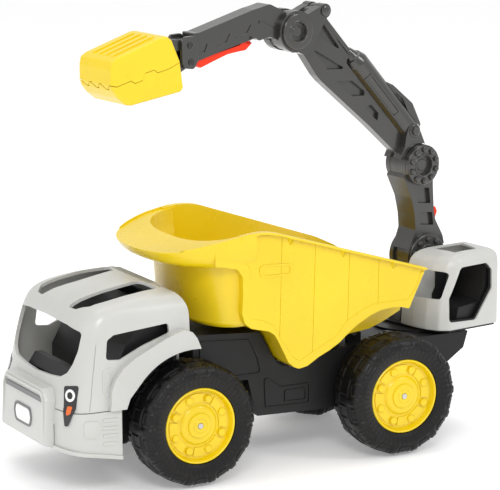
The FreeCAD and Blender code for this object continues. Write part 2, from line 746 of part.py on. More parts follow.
def boom_cylinder():
    barrel = along_rod(22, 153, size("barrel_radius"))
    barrel = barrel.cut(along_rod(120, 160, size("rod_radius") + 0.02))
    way = Vector(ROD_RUN).normalize()
    ends = [(-6 * way.z + step * way.x, 6 * way.x + step * way.z) for step in (0, 26)]
    stem = [(BARREL_EYE[0] + x, BARREL_EYE[1] + z) for x, z in ends]
    stem += [(x + 12 * way.z, z - 12 * way.x) for x, z in reversed(stem)]
    ram = joined([barrel, prism_y(stem, -7, 7), disc_y(BARREL_EYE, 8.5, -7, 7)])
    return ram.cut(disc_y(BARREL_EYE, size("small_pin_radius") + 0.03, -20, 20))


def boom_rod():
    rod = along_rod(122, ROD_RUN.Length, size("rod_radius"))
    eye = disc_y(ROD_EYE, 9, -8.5, 8.5)
    return joined([rod, eye]).cut(disc_y(ROD_EYE, size("small_pin_radius") + 0.03, -20, 20))


shaped("upper_boom_left", upper_boom(1), ARM)
shaped("upper_boom_right", upper_boom(-1), ARM)
shaped("boom_cylinder", boom_cylinder(), ARM)
shaped("boom_rod", boom_rod(), ARM)
rod_y("rod_pin", ROD_EYE, 2 * CHEEK + 4, "small_pin_radius", ARM)
rod_y("cylinder_pin", BARREL_EYE, 2 * LUG + 4, "small_pin_radius", ARM)
shaped("wrist_rings", bolt_ring(WRIST, 24, 14.5, 0, 0), ARM)
rod_y("wrist_pin", WRIST, 2 * CHEEK - 1, "pin_radius", ARM)


# ---------------------------------------------------------------- stick, trigger and yoke

STICK_WEB = [(214, 606), (220, 611), (246, 623), (264, 619), (273, 618), (363, 593.5), (372, 594),
             (372, 549.5), (364, 555), (266, 576), (264, 573), (246, 579), (226, 570)]
TRIGGER_SLOT = [(268, 565), (268, 592), (290, 592), (369, 577), (369, 545)]


def stick(label, side):
    body = new_body(label, ARM)
    slab(body, label + "_web", *side_span(side, 0, TONGUE), outline=STICK_WEB)
    slab(body, label + "_tongue", *side_span(side, 0, TONGUE), circle=(WRIST, size("tongue_radius")))
    slab(body, label + "_slot", *side_span(side, -1, 10.5), outline=TRIGGER_SLOT, cut=True)
    bore = size("pin_radius") + size("running_gap")
    slab(body, label + "_wrist_bore", *side_span(side, -1, 30), circle=(WRIST, bore), cut=True)
    slab(body, label + "_trigger_bore", *side_span(side, -1, 12.5), circle=(TRIGGER_PIN, 2.53), cut=True)
    return body


def yoke(label, side):
    """A rounded plate on the stick's end that carries the two bucket pins."""
    low, high = side_span(side, TONGUE + 0.1, TONGUE + 5)
    plate = prism_y([(368, 560), (368, 586), (374, 590.5), (388, 590.5), (394, 584), (394, 556), (389, 549),
                     (376, 547), (370, 550)], low, high)
    for pin in (UPPER_JAW_PIN, LOWER_JAW_PIN):
        plate = plate.cut(disc_y(pin, size("small_pin_radius") + 0.03, low - 1, high + 1))
    return shaped(label, plate, ARM)


stick("stick_left", 1)
stick("stick_right", -1)
yoke("yoke_left", 1)
yoke("yoke_right", -1)


def yoke_pins():
    centres = (UPPER_JAW_PIN, LOWER_JAW_PIN)
    radius = size("small_pin_radius")
    return Part.makeCompound([disc_y(centre, radius, -TONGUE - 6, TONGUE + 6) for centre in centres])


shaped("yoke_pins", yoke_pins(), ARM)
shaped("trigger_pin", disc_y(TRIGGER_PIN, 2.5, -12.4, 12.4), ARM)

TRIGGER = [(362, 556), (364, 551), (358, 546), (336, 553), (314, 560), (297, 563), (284, 565), (275, 572),
           (273, 580), (279, 586), (286, 580), (294, 571)]


def trigger():
    """The red finger lever under the stick, with a narrow lug round its pin."""
    lever_body = prism_y(TRIGGER, -9.5, 9.5)
    room = disc_y(TRIGGER_PIN, 8.5, 6, 12).fuse(disc_y(TRIGGER_PIN, 8.5, -12, -6))
    return lever_body.cut(room).cut(disc_y(TRIGGER_PIN, 2.58, -20, 20))


def trigger_spring():
    """The coil round the trigger's pin that pushes the lever out again."""
    ring = disc_y(TRIGGER_PIN, 4.6, 6.3, 10)
    return ring.cut(disc_y(TRIGGER_PIN, 2.6, 5, 12))


shaped("trigger", trigger(), ARM)
shaped("trigger_spring", trigger_spring(), ARM)


# ---------------------------------------------------------------- bucket jaws

SPLIT = [(411, 562), (431, 554), (447, 551), (453, 555), (467, 552), (471, 543), (483, 540), (489, 544),
         (511, 538), (520, 540)]


def jaw(contour, mouth, lug_pin, lug_outline):
    """Half a clamshell: an open box with a hinge lug, its mouth on the toothed split line."""
    half = size("bucket_half_width")
    outer = prism_y(contour, -half, half)
    shell = outer.cut(prism_y(mouth, 3 - half, half - 3))
    lug = prism_y(lug_outline, -TONGUE + 0.5, TONGUE - 0.5)
    lug = lug.fuse(disc_y(lug_pin, 7, -TONGUE + 0.5, TONGUE - 0.5)).cut(prism_y(mouth, -half, half))
    shell = joined([shell, lug])
    bore = size("small_pin_radius") + size("running_gap")
    return shell.cut(disc_y(lug_pin, bore, -half, half))


UPPER_CONTOUR = SPLIT + [(520, 560), (518, 570), (510, 575), (440, 596.5), (432, 597), (424, 591)]
UPPER_MOUTH = [(414.5, 556), (426.5, 588), (434, 593.5), (509, 571.5), (515, 567), (517, 540), (517, 530),
               (430, 530)]
LOWER_SPLIT = [(x, z - 0.8) for x, z in SPLIT]
LOWER_CONTOUR = LOWER_SPLIT + [(517, 532), (510, 523), (496, 512), (488, 511), (410, 522), (406, 527)]
LOWER_MOUTH = [(413.5, 566), (409.5, 528), (411, 525), (488, 514), (495, 515), (508, 525), (514.5, 534),
               (517, 545), (510, 570), (430, 575)]

upper_lug = [(381.5, 572), (381.5, 585.5), (400, 586), (424, 588), (418, 574), (400, 572)]
lower_lug = [(380, 550), (380, 563), (400, 558), (413, 552), (411, 534), (400, 540)]
shaped("upper_jaw", jaw(UPPER_CONTOUR, UPPER_MOUTH, UPPER_JAW_PIN, upper_lug), ARM)
shaped("lower_jaw", jaw(LOWER_CONTOUR, LOWER_MOUTH, LOWER_JAW_PIN, lower_lug), ARM)


# ---------------------------------------------------------------- check and write

doc.recompute()
for thing in doc.Objects:
    bad = [word for word in thing.State if word in ("Invalid", "Error")]
    if bad:
        raise RuntimeError(f"{thing.Label} is {bad}")
for piece in nodes:
    if piece.Shape.isNull() or not piece.Shape.isValid():
        raise RuntimeError(f"{piece.Label} has no valid shape")

os.makedirs("parts", exist_ok=True)
for piece in nodes:
    piece.Shape.exportStep(f"parts/{piece.Label}.step")
print(len(nodes), "pieces")
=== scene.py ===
import math

import bmesh
import bpy
from mathutils import Matrix, Vector


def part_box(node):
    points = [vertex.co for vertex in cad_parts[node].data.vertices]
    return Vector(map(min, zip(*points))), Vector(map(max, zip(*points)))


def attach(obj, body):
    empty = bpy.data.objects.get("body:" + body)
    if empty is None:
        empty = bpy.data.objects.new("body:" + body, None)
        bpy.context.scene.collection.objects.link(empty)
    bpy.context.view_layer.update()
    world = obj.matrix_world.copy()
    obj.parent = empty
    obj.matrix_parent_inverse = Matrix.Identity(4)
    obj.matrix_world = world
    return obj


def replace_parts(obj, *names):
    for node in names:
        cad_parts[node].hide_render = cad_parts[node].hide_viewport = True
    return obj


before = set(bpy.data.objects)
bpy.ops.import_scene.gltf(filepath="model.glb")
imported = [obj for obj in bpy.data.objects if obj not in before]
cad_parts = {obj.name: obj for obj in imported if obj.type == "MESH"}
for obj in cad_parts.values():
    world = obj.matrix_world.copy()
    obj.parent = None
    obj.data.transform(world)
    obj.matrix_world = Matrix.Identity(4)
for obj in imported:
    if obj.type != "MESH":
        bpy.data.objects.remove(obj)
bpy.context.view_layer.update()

# Everything is drawn in millimetres and scaled to metres at the end. Points are (x, z) in a side
# view, (y, z) in a front view and (x, y) in a plan. The arm is drawn in its own upright plane.

FRONT, REAR, AXLE_HEIGHT = 158.0, -158.0, 85.0
WHEEL_PLANE = 114.0
WALL = 3.5
SIDES = ((1, "left"), (-1, "right"))

# The arm's pivots in its side view, measured from the turret's axis.
SHOULDER = (-28.0, 243.0)
ELBOW = (-16.0, 377.0)
WRIST = (206.0, 583.5)
ROD_EYE = (158.0, 608.0)
BARREL_EYE = (-6.0, 426.0)
UPPER_JAW_PIN = (381.5, 579.0)
LOWER_JAW_PIN = (380.0, 556.6)
TRIGGER_PIN = (279.0, 580.0)

# The turret's axis behind the truck's middle, its turn at rest, and the arm's place beside the axis.
TURRET_AXIS = -250
TURRET_REST = math.radians(8)
ARM_OFFSET = -14

axle_low, axle_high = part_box("front_axle")
SHIFT = (axle_low.x + axle_high.x) / 2 - FRONT / 1000
METRES = Matrix.Scale(0.001, 4)
VEHICLE = Matrix.Translation((SHIFT, 0, 0)) @ METRES
TURRET = VEHICLE @ Matrix.Translation((TURRET_AXIS, 0, 0)) @ Matrix.Rotation(TURRET_REST, 4, "Z")
ARM = TURRET @ Matrix.Translation((0, ARM_OFFSET, 0))
ARM_BODIES = ("lower_arm", "upper_arm", "forearm", "finger_lever", "top_jaw", "bottom_jaw", "lever")

# ---------------------------------------------------------------- materials


def add_node(tree, kind, **inputs):
    """A shader node with its inputs set; an underscore stands for the space in an input's name."""
    node = tree.nodes.new("ShaderNode" + kind)
    for name, value in inputs.items():
        node.inputs[name.replace("_", " ")].default_value = value
    return node


def noise(tree, place, scale, detail):
    """The value of a noise pattern that is fixed to the piece."""
    pattern = add_node(tree, "TexNoise", Scale=scale, Detail=detail)
    tree.links.new(place.outputs["Object"], pattern.inputs["Vector"])
    return pattern.outputs["Fac"]


def plastic(name, colour, rough, grain=0.05, grain_size=900.0, shade=0.05, coat=0.0, translucent=0.0,
            mirror=0.5):
    """Moulded plastic: faint colour drift, uneven gloss and a fine pebbled skin."""
    mat = bpy.data.materials.new(name)
    mat.use_nodes = True
    tree = mat.node_tree
    link = tree.links.new
    shader = tree.nodes["Principled BSDF"]
    place = add_node(tree, "TexCoord")
    ramp = add_node(tree, "ValToRGB")
    for stop, position, change in zip(ramp.color_ramp.elements, (0.3, 0.7), (-shade, shade)):
        stop.position = position
        stop.color = (*[min(1, c * (1 + change)) for c in colour], 1)
    link(noise(tree, place, 9.0, 3.0), ramp.inputs["Fac"])
    link(ramp.outputs["Color"], shader.inputs["Base Color"])
    gloss = add_node(tree, "MapRange", To_Min=rough - 0.06, To_Max=rough + 0.08)
    link(noise(tree, place, 40.0, 4.0), gloss.inputs["Value"])
    link(gloss.outputs["Result"], shader.inputs["Roughness"])
    bump = add_node(tree, "Bump", Strength=grain, Distance=0.0004)
    link(noise(tree, place, grain_size, 2.0), bump.inputs["Height"])
    link(bump.outputs["Normal"], shader.inputs["Normal"])
    looks = {"Specular IOR Level": mirror, "Coat Weight": coat, "Coat Roughness": 0.25}
    if translucent:
        looks["Subsurface Weight"] = translucent
        looks["Subsurface Radius"] = (0.004, 0.003, 0.001)
        looks["Subsurface Scale"] = 1.0
    for key, value in looks.items():
        shader.inputs[key].default_value = value
    return mat


def metal(name, colour, rough):
    """Zinc-plated steel with fine drawn scratches."""
    mat = plastic(name, colour, rough, grain=0.12, grain_size=1500.0, shade=0.08)
    mat.node_tree.nodes["Principled BSDF"].inputs["Metallic"].default_value = 1.0
    return mat


WHITE = plastic("white_plastic", (0.52, 0.523, 0.50), 0.30, coat=0.1, translucent=0.08)
YELLOW = plastic("yellow_plastic", (0.78, 0.565, 0.003), 0.28, coat=0.15, translucent=0.08)
BLACK = plastic("black_plastic", (0.012, 0.012, 0.0125), 0.40, grain=0.12, mirror=0.3)
CHASSIS = plastic("chassis_plastic", (0.010, 0.010, 0.0105), 0.42, grain=0.15, mirror=0.3)
ARM_GREY = plastic("arm_plastic", (0.025, 0.0245, 0.022), 0.22, grain=0.05, coat=0.6)
TYRE = plastic("tyre_plastic", (0.005, 0.0048, 0.005), 0.36, grain=0.14, mirror=0.28)
RED = plastic("red_plastic", (0.80, 0.030, 0.004), 0.34, mirror=0.3)
DARK_STEEL = metal("dark_steel", (0.06, 0.06, 0.062), 0.38)
STEEL = metal("steel", (0.55, 0.55, 0.56), 0.32)
LABEL_GREY = plastic("label_grey", (0.16, 0.155, 0.16), 0.4, grain=0.03)
LABEL_WHITE = plastic("label_white", (0.85, 0.85, 0.84), 0.35, grain=0.02)
LABEL_BLACK = plastic("label_black", (0.02, 0.02, 0.022), 0.35, grain=0.03)
LABEL_ORANGE = plastic("label_orange", (0.75, 0.14, 0.02), 0.4, grain=0.03)
FLOOR = plastic("floor_paper", (0.95, 0.95, 0.95), 0.75, grain=0.02, grain_size=300.0, shade=0.005)

# ---------------------------------------------------------------- shapes


def make(verts, faces):
    """A mesh with its faces turned outwards."""
    mesh = bpy.data.meshes.new("part")
    mesh.from_pydata([tuple(v) for v in verts], [], faces)
    bm = bmesh.new()
    bm.from_mesh(mesh)
    bmesh.ops.recalc_face_normals(bm, faces=bm.faces)
    bm.to_mesh(mesh)
    bm.free()
    piece = bpy.data.objects.new("part", mesh)
    bpy.context.scene.collection.objects.link(piece)
    return piece


def loft(rings):
    """A skin over rings of equally many points, closed at both ends."""
    n = len(rings[0])
    verts = [p for ring in rings for p in ring]
    faces = [tuple(range(n)), tuple(range(len(verts) - 1, len(verts) - n - 1, -1))]
    for k in range(len(rings) - 1):
        for i in range(n):
            j = (i + 1) % n
            faces.append((k * n + i, k * n + j, (k + 1) * n + j, (k + 1) * n + i))
    return make(verts, faces)


AXES = {"y": lambda a, b, c: (a, c, b), "x": lambda a, b, c: (c, a, b), "z": lambda a, b, c: (a, b, c)}


def prism(outline, low, high, axis="y"):
    """A slab: the outline is (x, z) along y, (y, z) along x or (x, y) along z."""
    turn = AXES[axis]
    return loft([[turn(a, b, level) for a, b in outline] for level in (low, high)])


def around(centre, radius, angle):
    """The point at an angle on a circle."""
    return (centre[0] + radius * math.cos(angle), centre[1] + radius * math.sin(angle))


def circle(centre, radius, steps=48):
    return [around(centre, radius, 2 * math.pi * i / steps) for i in range(steps)]


def span(side, near, far):
    """The two ends of a stretch on one side of the middle plane, the lower one first."""
    return sorted((side * near, side * far))


def disc(centre, radius, low, high, axis="y", steps=48):
    return prism(circle(centre, radius, steps), low, high, axis)


def rounded(outline, radius, steps=5):
    """The outline with each corner turned into an arc; radius is one number or one per corner."""
    n = len(outline)
    radii = radius if isinstance(radius, (list, tuple)) else [radius] * n
    result = []
    for i in range(n):
        here, before, after = (Vector(outline[j % n]) for j in (i, i - 1, i + 1))
        a, b = before - here, after - here
        la, lb = a.length, b.length
        a.normalize()
        b.normalize()
        angle = a.angle(b)
        if radii[i] <= 0.01 or angle > math.radians(176):
            result.append(tuple(here))
            continue
        reach = min(radii[i] / math.tan(angle / 2), 0.48 * la, 0.48 * lb)
        start, end = here + a * reach, here + b * reach
        for k in range(steps + 1):
            t = k / steps
            result.append(tuple((1 - t) ** 2 * start + 2 * t * (1 - t) * here + t**2 * end))
    return result


def between(a, b, c, d, t):
    """The value at a share t of the way from b to c on a smooth curve through all four."""
    return 0.5 * (2 * b + (c - a) * t + (2 * a - 5 * b + 4 * c - d) * t**2 + (3 * b - a - 3 * c + d) * t**3)


def curve_through(points, spacing, length):
    """Points added on a smooth curve through the given ones; length(a, b) measures one stretch."""
    result = []
    last = len(points) - 1
    for i in range(last):
        near = [points[min(max(i + k, 0), last)] for k in (-1, 0, 1, 2)]
        count = max(1, round(length(near[1], near[2]) / spacing))
        for k in range(count):
            result.append(tuple(between(*values, k / count) for values in zip(*near)))
    return result + [points[-1]]


def lathe(profile, centre, steps=96, side=1):
    """A closed profile of (y, radius) turned about the Y axis through a point given as (x, z)."""
    n = len(profile)
    verts = []
    for i in range(steps):
        for y, r in profile:
            x, z = around(centre, r, 2 * math.pi * i / steps)
            verts.append((x, side * y, z))
    faces = []
    for i in range(steps):
        k = (i + 1) % steps
        for j in range(n):
            m = (j + 1) % n
            faces.append((i * n + j, i * n + m, k * n + m, k * n + j))
    return make(verts, faces)


def bake(piece):
    """Applies the piece's modifiers."""
    graph = bpy.context.evaluated_depsgraph_get()
    mesh = bpy.data.meshes.new_from_object(piece.evaluated_get(graph))
    old = piece.data
    piece.modifiers.clear()
    piece.data = mesh
    bpy.data.meshes.remove(old)


def boolean(target, others, kind):
    """Combines the target with each of the others in turn and deletes them."""
    for other in others:
        step = target.modifiers.new("solid", "BOOLEAN")
        step.operation = kind
        step.solver = "EXACT"
        step.object = other
        bake(target)
        bpy.data.objects.remove(other)
    return target


def cut(target, *others):
    return boolean(target, others, "DIFFERENCE")


def fuse(target, *others):
    return boolean(target, others, "UNION")


def common(target, *others):
    return boolean(target, others, "INTERSECT")


def join(target, *others):
    """Puts closed solids into one mesh."""
    bm = bmesh.new()
    bm.from_mesh(target.data)
    for other in others:
        bm.from_mesh(other.data)
        bpy.data.objects.remove(other)
    bm.to_mesh(target.data)
    bm.free()
    return target


def clean(piece):
    """Merges double points and takes out edges on flat faces."""
    bm = bmesh.new()
    bm.from_mesh(piece.data)
    bmesh.ops.remove_doubles(bm, verts=bm.verts, dist=0.01)
    bmesh.ops.dissolve_limit(bm, angle_limit=math.radians(0.6), verts=bm.verts, edges=bm.edges)
    bm.to_mesh(piece.data)
    bm.free()


def round_edges(piece, width, segments, limit):
    """A bevel on every edge sharper than the limit in degrees."""
    edge = piece.modifiers.new("edge", "BEVEL")
    edge.width = width
    edge.segments = segments
    edge.limit_method = "ANGLE"
    edge.angle_limit = math.radians(limit)
    return edge


def finish(piece, name, material, body, slot="", place=None, bevel=0.8, segments=2, limit=32, tidy=True):
    """Rounds the edges, sets the material, moves the piece to its place and lets it ride."""
    if tidy:
        clean(piece)
    if bevel:
        round_edges(piece, bevel, segments, limit).miter_outer = "MITER_ARC"
    bake(piece)
    own_place = ARM if body in ARM_BODIES else TURRET if body == "turret" else VEHICLE
    piece.data.transform(place or own_place)
    piece.data.polygons.foreach_set("use_smooth", [True] * len(piece.data.polygons))
    piece.data.set_sharp_from_angle(angle=math.radians(38))
    piece.modifiers.new("normals", "WEIGHTED_NORMAL").keep_sharp = True
    bake(piece)
    piece.name = name
    piece.data.name = name
    piece.data.materials.clear()
    piece.data.materials.append(material)
    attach(piece, body)
    return piece


def stand_in(piece, node, material, body, **looks):
    """A finished piece that is shown instead of the CAD node it is named after."""
    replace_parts(finish(piece, node + "_look", material, body, **looks), node)


def keep(node, material, bevel=0.0):
    """A CAD node that stays, with a finished material and, where it helps, softened edges."""
    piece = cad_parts[node]
    piece.data.materials.clear()
    piece.data.materials.append(material)
    if bevel:
        round_edges(piece, bevel / 1000, 2, 35)
        piece.modifiers.new("normals", "WEIGHTED_NORMAL").keep_sharp = True


# ---------------------------------------------------------------- wheels

# The tyre's outside from its bead to the middle of its tread, as (distance from its middle, radius).
TREAD = [
    (28.5, 52.4), (30.5, 57), (32.3, 63), (33.0, 68), (32.2, 74), (29.4, 79), (24.8, 82.0), (18, 83.0),
    (8, 83.2), (0, 83.2),
]
# The tyre's inside: two rims that hold the hub, and the web between them.
TYRE_INSIDE = [(-26, 50), (0, 50), (0, 14), (-28, 14), (-28, 4.85), (4, 4.85), (4, 52.3), (26, 52.3)]
TYRE_STEPS = 448
TREAD_RADIUS = 84
LUGS = 14
LUG_PITCH = 2 * math.pi / LUGS
LUG_RISE = 1.8
GROOVE_DEPTH = 0.9
RAY_PITCH = 9.4
RAY_DEPTH = 0.4


def smooth_step(value, low, high):
    """Rises smoothly from 0 at low to 1 at high."""
    t = min(max((value - low) / (high - low), 0.0), 1.0)
    return t * t * (3 - 2 * t)


def rounded_box_distance(x, y, half_x, half_y, corner):
    """How far a point lies outside a box with rounded corners; less than nothing inside it."""
    dx, dy = abs(x) - half_x + corner, abs(y) - half_y + corner
    outside = math.hypot(max(dx, 0), max(dy, 0))
    return outside + min(max(dx, dy), 0) - corner


def repeat(value, pitch):
    """The distance to the middle of the nearest pitch."""
    return ((value / pitch) % 1.0 - 0.5) * pitch


def tread_height(arc, crown_arc, across, r):
    """How far the moulding stands out: shoulder pads, crown blocks, a sidewall ring and fine rays."""
    pad = rounded_box_distance(arc, across - 27, 14.5, 15.5, 5)
    rise = LUG_RISE * (1 - smooth_step(pad, -2.2, 0.6))
    notch = rounded_box_distance(arc, across - 28, 8.5, 10.0, 4)
    if rise > 0.3:
        rise -= GROOVE_DEPTH * (1 - smooth_step(abs(notch), 0.3, 1.5))
    bar = rounded_box_distance(crown_arc, across - 2.5, 13.5, 7.0, 3)
    rise = max(rise, LUG_RISE * (1 - smooth_step(bar, -2.0, 0.6)))
    if across > 40:
        rise += RAY_DEPTH * (1 - smooth_step(abs(r - 70.5), 0.5, 1.6))
        if 56.5 < r < 69:
            ray = abs(repeat(arc, RAY_PITCH))
            rise -= RAY_DEPTH * (1 - smooth_step(abs(ray - 0.8), 0.3, 1.0))
    return rise


def tyre_rows():
    """Points across the tyre's outside: place, radius, distance from the crown, outward way."""
    half = curve_through(TREAD, 1.25, math.dist)
    whole = half + [(-y, r) for y, r in reversed(half[:-1])]
    lengths = [0.0]
    for a, b in zip(whole, whole[1:]):
        lengths.append(lengths[-1] + math.dist(a, b))
    rows = []
    for i, (y, r) in enumerate(whole):
        a, b = whole[max(i - 1, 0)], whole[min(i + 1, len(whole) - 1)]
        run = Vector((b[0] - a[0], b[1] - a[1])).normalized()
        rows.append((y, r, lengths[i] - lengths[-1] / 2, (-run.y, run.x)))
    return rows


def make_tyre(name, x, side, body):
    """One closed ring: each turn step has a row of tread points and a row of inside points."""
    rows = tyre_rows()
    n = len(rows) + len(TYRE_INSIDE)
    verts = []
    for k in range(TYRE_STEPS):
        angle = 2 * math.pi * k / TYRE_STEPS
        section = []
        for y, r, along, outward in rows:
            turn = angle + (LUG_PITCH / 2 if along > 0 else 0)
            arc = repeat(turn, LUG_PITCH) * TREAD_RADIUS
            crown = repeat(angle + LUG_PITCH / 4, LUG_PITCH / 2) * TREAD_RADIUS
            rise = tread_height(arc, crown * 1.6, abs(along), r)
            section.append((y + outward[0] * rise, r + outward[1] * rise))
        for y, r in section + TYRE_INSIDE:
            px, pz = around((x, AXLE_HEIGHT), r, angle)
            verts.append((px, side * (WHEEL_PLANE + y), pz))
    faces = []
    for k in range(TYRE_STEPS):
        after = (k + 1) % TYRE_STEPS
        for j in range(n):
            i = (j + 1) % n
            faces.append((k * n + j, k * n + i, after * n + i, after * n + j))
    stand_in(make(verts, faces), name, TYRE, body, bevel=0, tidy=False)


# The hub's section from its rim over the dish to its middle, then back along the inside.
HUB_PROFILE = [
    (27.4, 51.7), (28.3, 50.6), (28.3, 49.2), (27.0, 48.2), (21.5, 46.6), (20.4, 45.4), (20.2, 42),
    (20.0, 30), (20.3, 27.5), (22.0, 26.0), (23.6, 24.2), (24.0, 22), (24.0, 18.5), (24.6, 17.2),
    (26.4, 16.4), (27.0, 15.2), (27.0, 10.2), (27.6, 9.4), (28.3, 8.8), (28.3, 4.8), (27.2, 4.2),
    (27.2, 2.3), (17.5, 2.3), (17.5, 28), (16.5, 47.5), (5, 48.6), (5, 51.7),
]
DISH = WHEEL_PLANE + 19
NUT_PROFILE = [(0, 5.3), (4.4, 5.3), (5.3, 4.9), (5.9, 3.8), (6.0, 0.01), (0, 0.01)]
NUTS = 8
NUT_RING = 37
SEGMENTS = 4


def arc_plate(centre, inner, outer, start, end, low, high):
    """A plate between two arcs."""
    steps = 14
    angles = [start + (end - start) * i / steps for i in range(steps + 1)]
    outline = [around(centre, outer, a) for a in angles]
    outline += [around(centre, inner, a) for a in reversed(angles)]
    return prism(outline, low, high)


def make_hub(name, x, side, body):
    """The dished hub with its moulded nut heads and the four raised plates they stand on."""
    centre = (x, AXLE_HEIGHT)
    pieces = [lathe([(WHEEL_PLANE + y, r) for y, r in HUB_PROFILE], centre, side=side)]
    for i in range(NUTS):
        spot = around(centre, NUT_RING, math.pi * (0.25 * i + 0.125))
        pieces.append(lathe([(DISH + y, r) for y, r in NUT_PROFILE], spot, 28, side))
    for i in range(SEGMENTS):
        middle = math.pi * (0.5 * i + 0.25) + math.pi / 8
        reach = math.pi / 5.4
        plate = arc_plate(centre, 30.6, 43.2, middle - reach, middle + reach, *span(side, DISH, DISH + 2.8))
        pieces.append(plate)
    stand_in(join(*pieces), name, YELLOW, body, bevel=0.7, tidy=False, limit=50)


for end, x in (("front", FRONT), ("rear", REAR)):
    for side, side_name in SIDES:
        corner = end + "_" + side_name
        make_tyre("tyre_" + corner, x, side, "wheel_" + corner)
        make_hub("hub_" + corner, x, side, "wheel_" + corner)
        keep("hub_screw_" + corner, STEEL)

# ---------------------------------------------------------------- truck cab

CAB_REAR = 158.0
# Each level: height, nose, half width, how far the rear is drawn in.
CAB_LEVELS = [
    (116, 338, 117, 0), (134, 335, 116.5, 0), (150, 331, 115, 0), (184, 324, 113, 0), (218, 315, 110.5, 0),
    (232, 309, 108.5, 0), (240, 303, 106, 1), (246, 295, 103, 3), (250, 285, 100, 5), (254, 268, 96, 8),
    (258, 247, 90, 12), (262, 224, 76, 20), (265, 205, 55, 32),
]
SKIRT_LEVELS = [(40, 340, 119.5, 0), (60, 340, 119.5, 0), (115, 339, 118.5, 0)]
SKIRT_REAR = 262
SIDE_WINDOW = [(282, 183), (279, 209), (269, 215), (189, 222), (188, 208.5), (227, 196), (261, 181)]
ROOF_LIGHT = [(301, 40), (250, 35), (197, 37), (187, 76), (225, 80), (262, 80), (286, 76), (299, 60)]
FLARE = [
    (149, 180), (147, 186), (153, 200), (160, 209), (172, 213), (198, 205), (222, 194), (245, 183),
    (262, 171), (273, 157), (278.5, 143), (280, 116.5), (257, 116.5), (252, 130), (232, 153), (206, 171),
    (180, 178),
]
FLARE_RADII = [2, 3, 6, 5, 6, 14, 14, 14, 14, 14, 8, 0, 0, 10, 14, 14, 12]
WHEEL_ARCH = 100.5
DOOR_GROOVE = [(286.5, 221), (293.2, 209), (307, 118), (308.2, 118), (294.4, 209.4), (288, 222)]


def nose_arc(start, nose, half, roundness, height):
    """The rounded front of a plan, from its right side to its left one."""
    steps = 44
    arc = []
    for i in range(steps + 1):
        angle = math.pi * (i / steps - 0.5)
        y = half * math.copysign(abs(math.sin(angle)) ** (2 / roundness), math.sin(angle))
        arc.append((start + (nose - start) * abs(math.cos(angle)) ** (2 / roundness), y, height))
    return arc


def bowed_ring(height, nose, half, rear):
    """The cab's plan: a flat rear, straight sides and a bowed front with round corners."""
    start = nose - 0.48 * half
    middle = rear + 0.5 * (start - rear)
    right = [(rear, -half, height), (middle, -half, height)]
    return right + nose_arc(start, nose, half, 4.2, height) + [(middle, half, height), (rear, half, height)]


def rise_between(a, b):
    """How far one level lies above another."""
    return b[0] - a[0]


def bowed_solid(levels, rear, grow=0.0):
    """A solid with the cab's plan at every level, grown by a distance all round."""
    rows = curve_through(levels, 3.0, rise_between)
    return loft([bowed_ring(h, n + grow, b + grow, rear + d - grow) for h, n, b, d in rows])


def roof_ridge():
    """The low raised block across the back of the roof, behind the two roof lights."""
    plan = [(168, -37), (190, -38), (198, -24), (208, 0), (198, 24), (190, 38), (168, 37)]
    plan = rounded(plan, [8, 10, 8, 12, 8, 10, 8], 6)
    rings = []
    for z, k in ((250, 1.04), (262, 1.02), (266.6, 0.99), (268.7, 0.95), (269.5, 0.88)):
        rings.append([(178 + (x - 178) * k, y * k, z) for x, y in plan])
    return loft(rings)


def windscreen():
    """The cutter for the windscreen, drawn from its middle over one half and mirrored."""
    half = [
        (0, 151), (40, 153.5), (70, 157), (84, 165), (91, 177), (95, 195), (94, 219), (60, 223.5), (0, 225),
    ]
    corners = [0, 30, 16, 12, 12, 20, 7, 0, 0]
    outline = half + [(-y, z) for y, z in reversed(half[1:-1])]
    return prism(rounded(outline, corners + corners[-2:0:-1], 6), 282, 360, "x")


def cab_shell():
    """The hollow cab with its wheel flares, windows, roof lights, roof ridge and door grooves."""
    flare = rounded(FLARE, FLARE_RADII)
    flares = [prism(flare, *span(side, 110.5, 124)) for side, _ in SIDES]
    shell = fuse(bowed_solid(CAB_LEVELS, CAB_REAR), *flares)
    inner_levels = [(100, CAB_LEVELS[0][1] - WALL, CAB_LEVELS[0][2] - WALL, 0)]
    inner_levels += [(h - WALL, n - WALL, b - WALL, d) for h, n, b, d in CAB_LEVELS[1:]]
    shell = cut(shell, bowed_solid(inner_levels, CAB_REAR + WALL))
    window = rounded(SIDE_WINDOW, [6, 6, 5, 5, 4, 8, 7], 6)
    light = rounded(ROOF_LIGHT, [7, 0, 5, 6, 0, 0, 6, 6], 6)
    cutters = [windscreen()]
    for side, _ in SIDES:
        cutters.append(prism(window, *span(side, 90, 130)))
        cutters.append(prism([(x, side * y) for x, y in light], 230, 290, "z"))
        cutters.append(disc((FRONT, AXLE_HEIGHT), WHEEL_ARCH, *span(side, 80, 140), steps=96))
    shell = fuse(cut(shell, *cutters), roof_ridge())
    for side, _ in SIDES:
        groove = prism(DOOR_GROOVE, *span(side, 109, 126))
        shell = cut(shell, cut(groove, bowed_solid(CAB_LEVELS, CAB_REAR, -0.9)))
    stand_in(shell, "cab_shell", WHITE, "vehicle", bevel=1.2, segments=3)


def door_panels():
    """The raised door pressing on each side of the cab."""
    outline = rounded([(287.5, 169), (274, 174.5), (273.5, 160), (281, 131), (288, 143)], 4)
    inside = rounded([(285.2, 166), (276.4, 170), (276, 160), (281.8, 138), (285.6, 145)], 3)
    for side, side_name in SIDES:
        low, high = span(side, 108, 118)
        rim = cut(prism(outline, low, high), prism(inside, low - 1, high + 1))
        rim = common(rim, bowed_solid(CAB_LEVELS, CAB_REAR, 0.7))
        rim = cut(rim, bowed_solid(CAB_LEVELS, CAB_REAR, -0.5))
        finish(rim, "door_pressing_" + side_name, WHITE, "vehicle", bevel=0.3, slot="white_plastic")


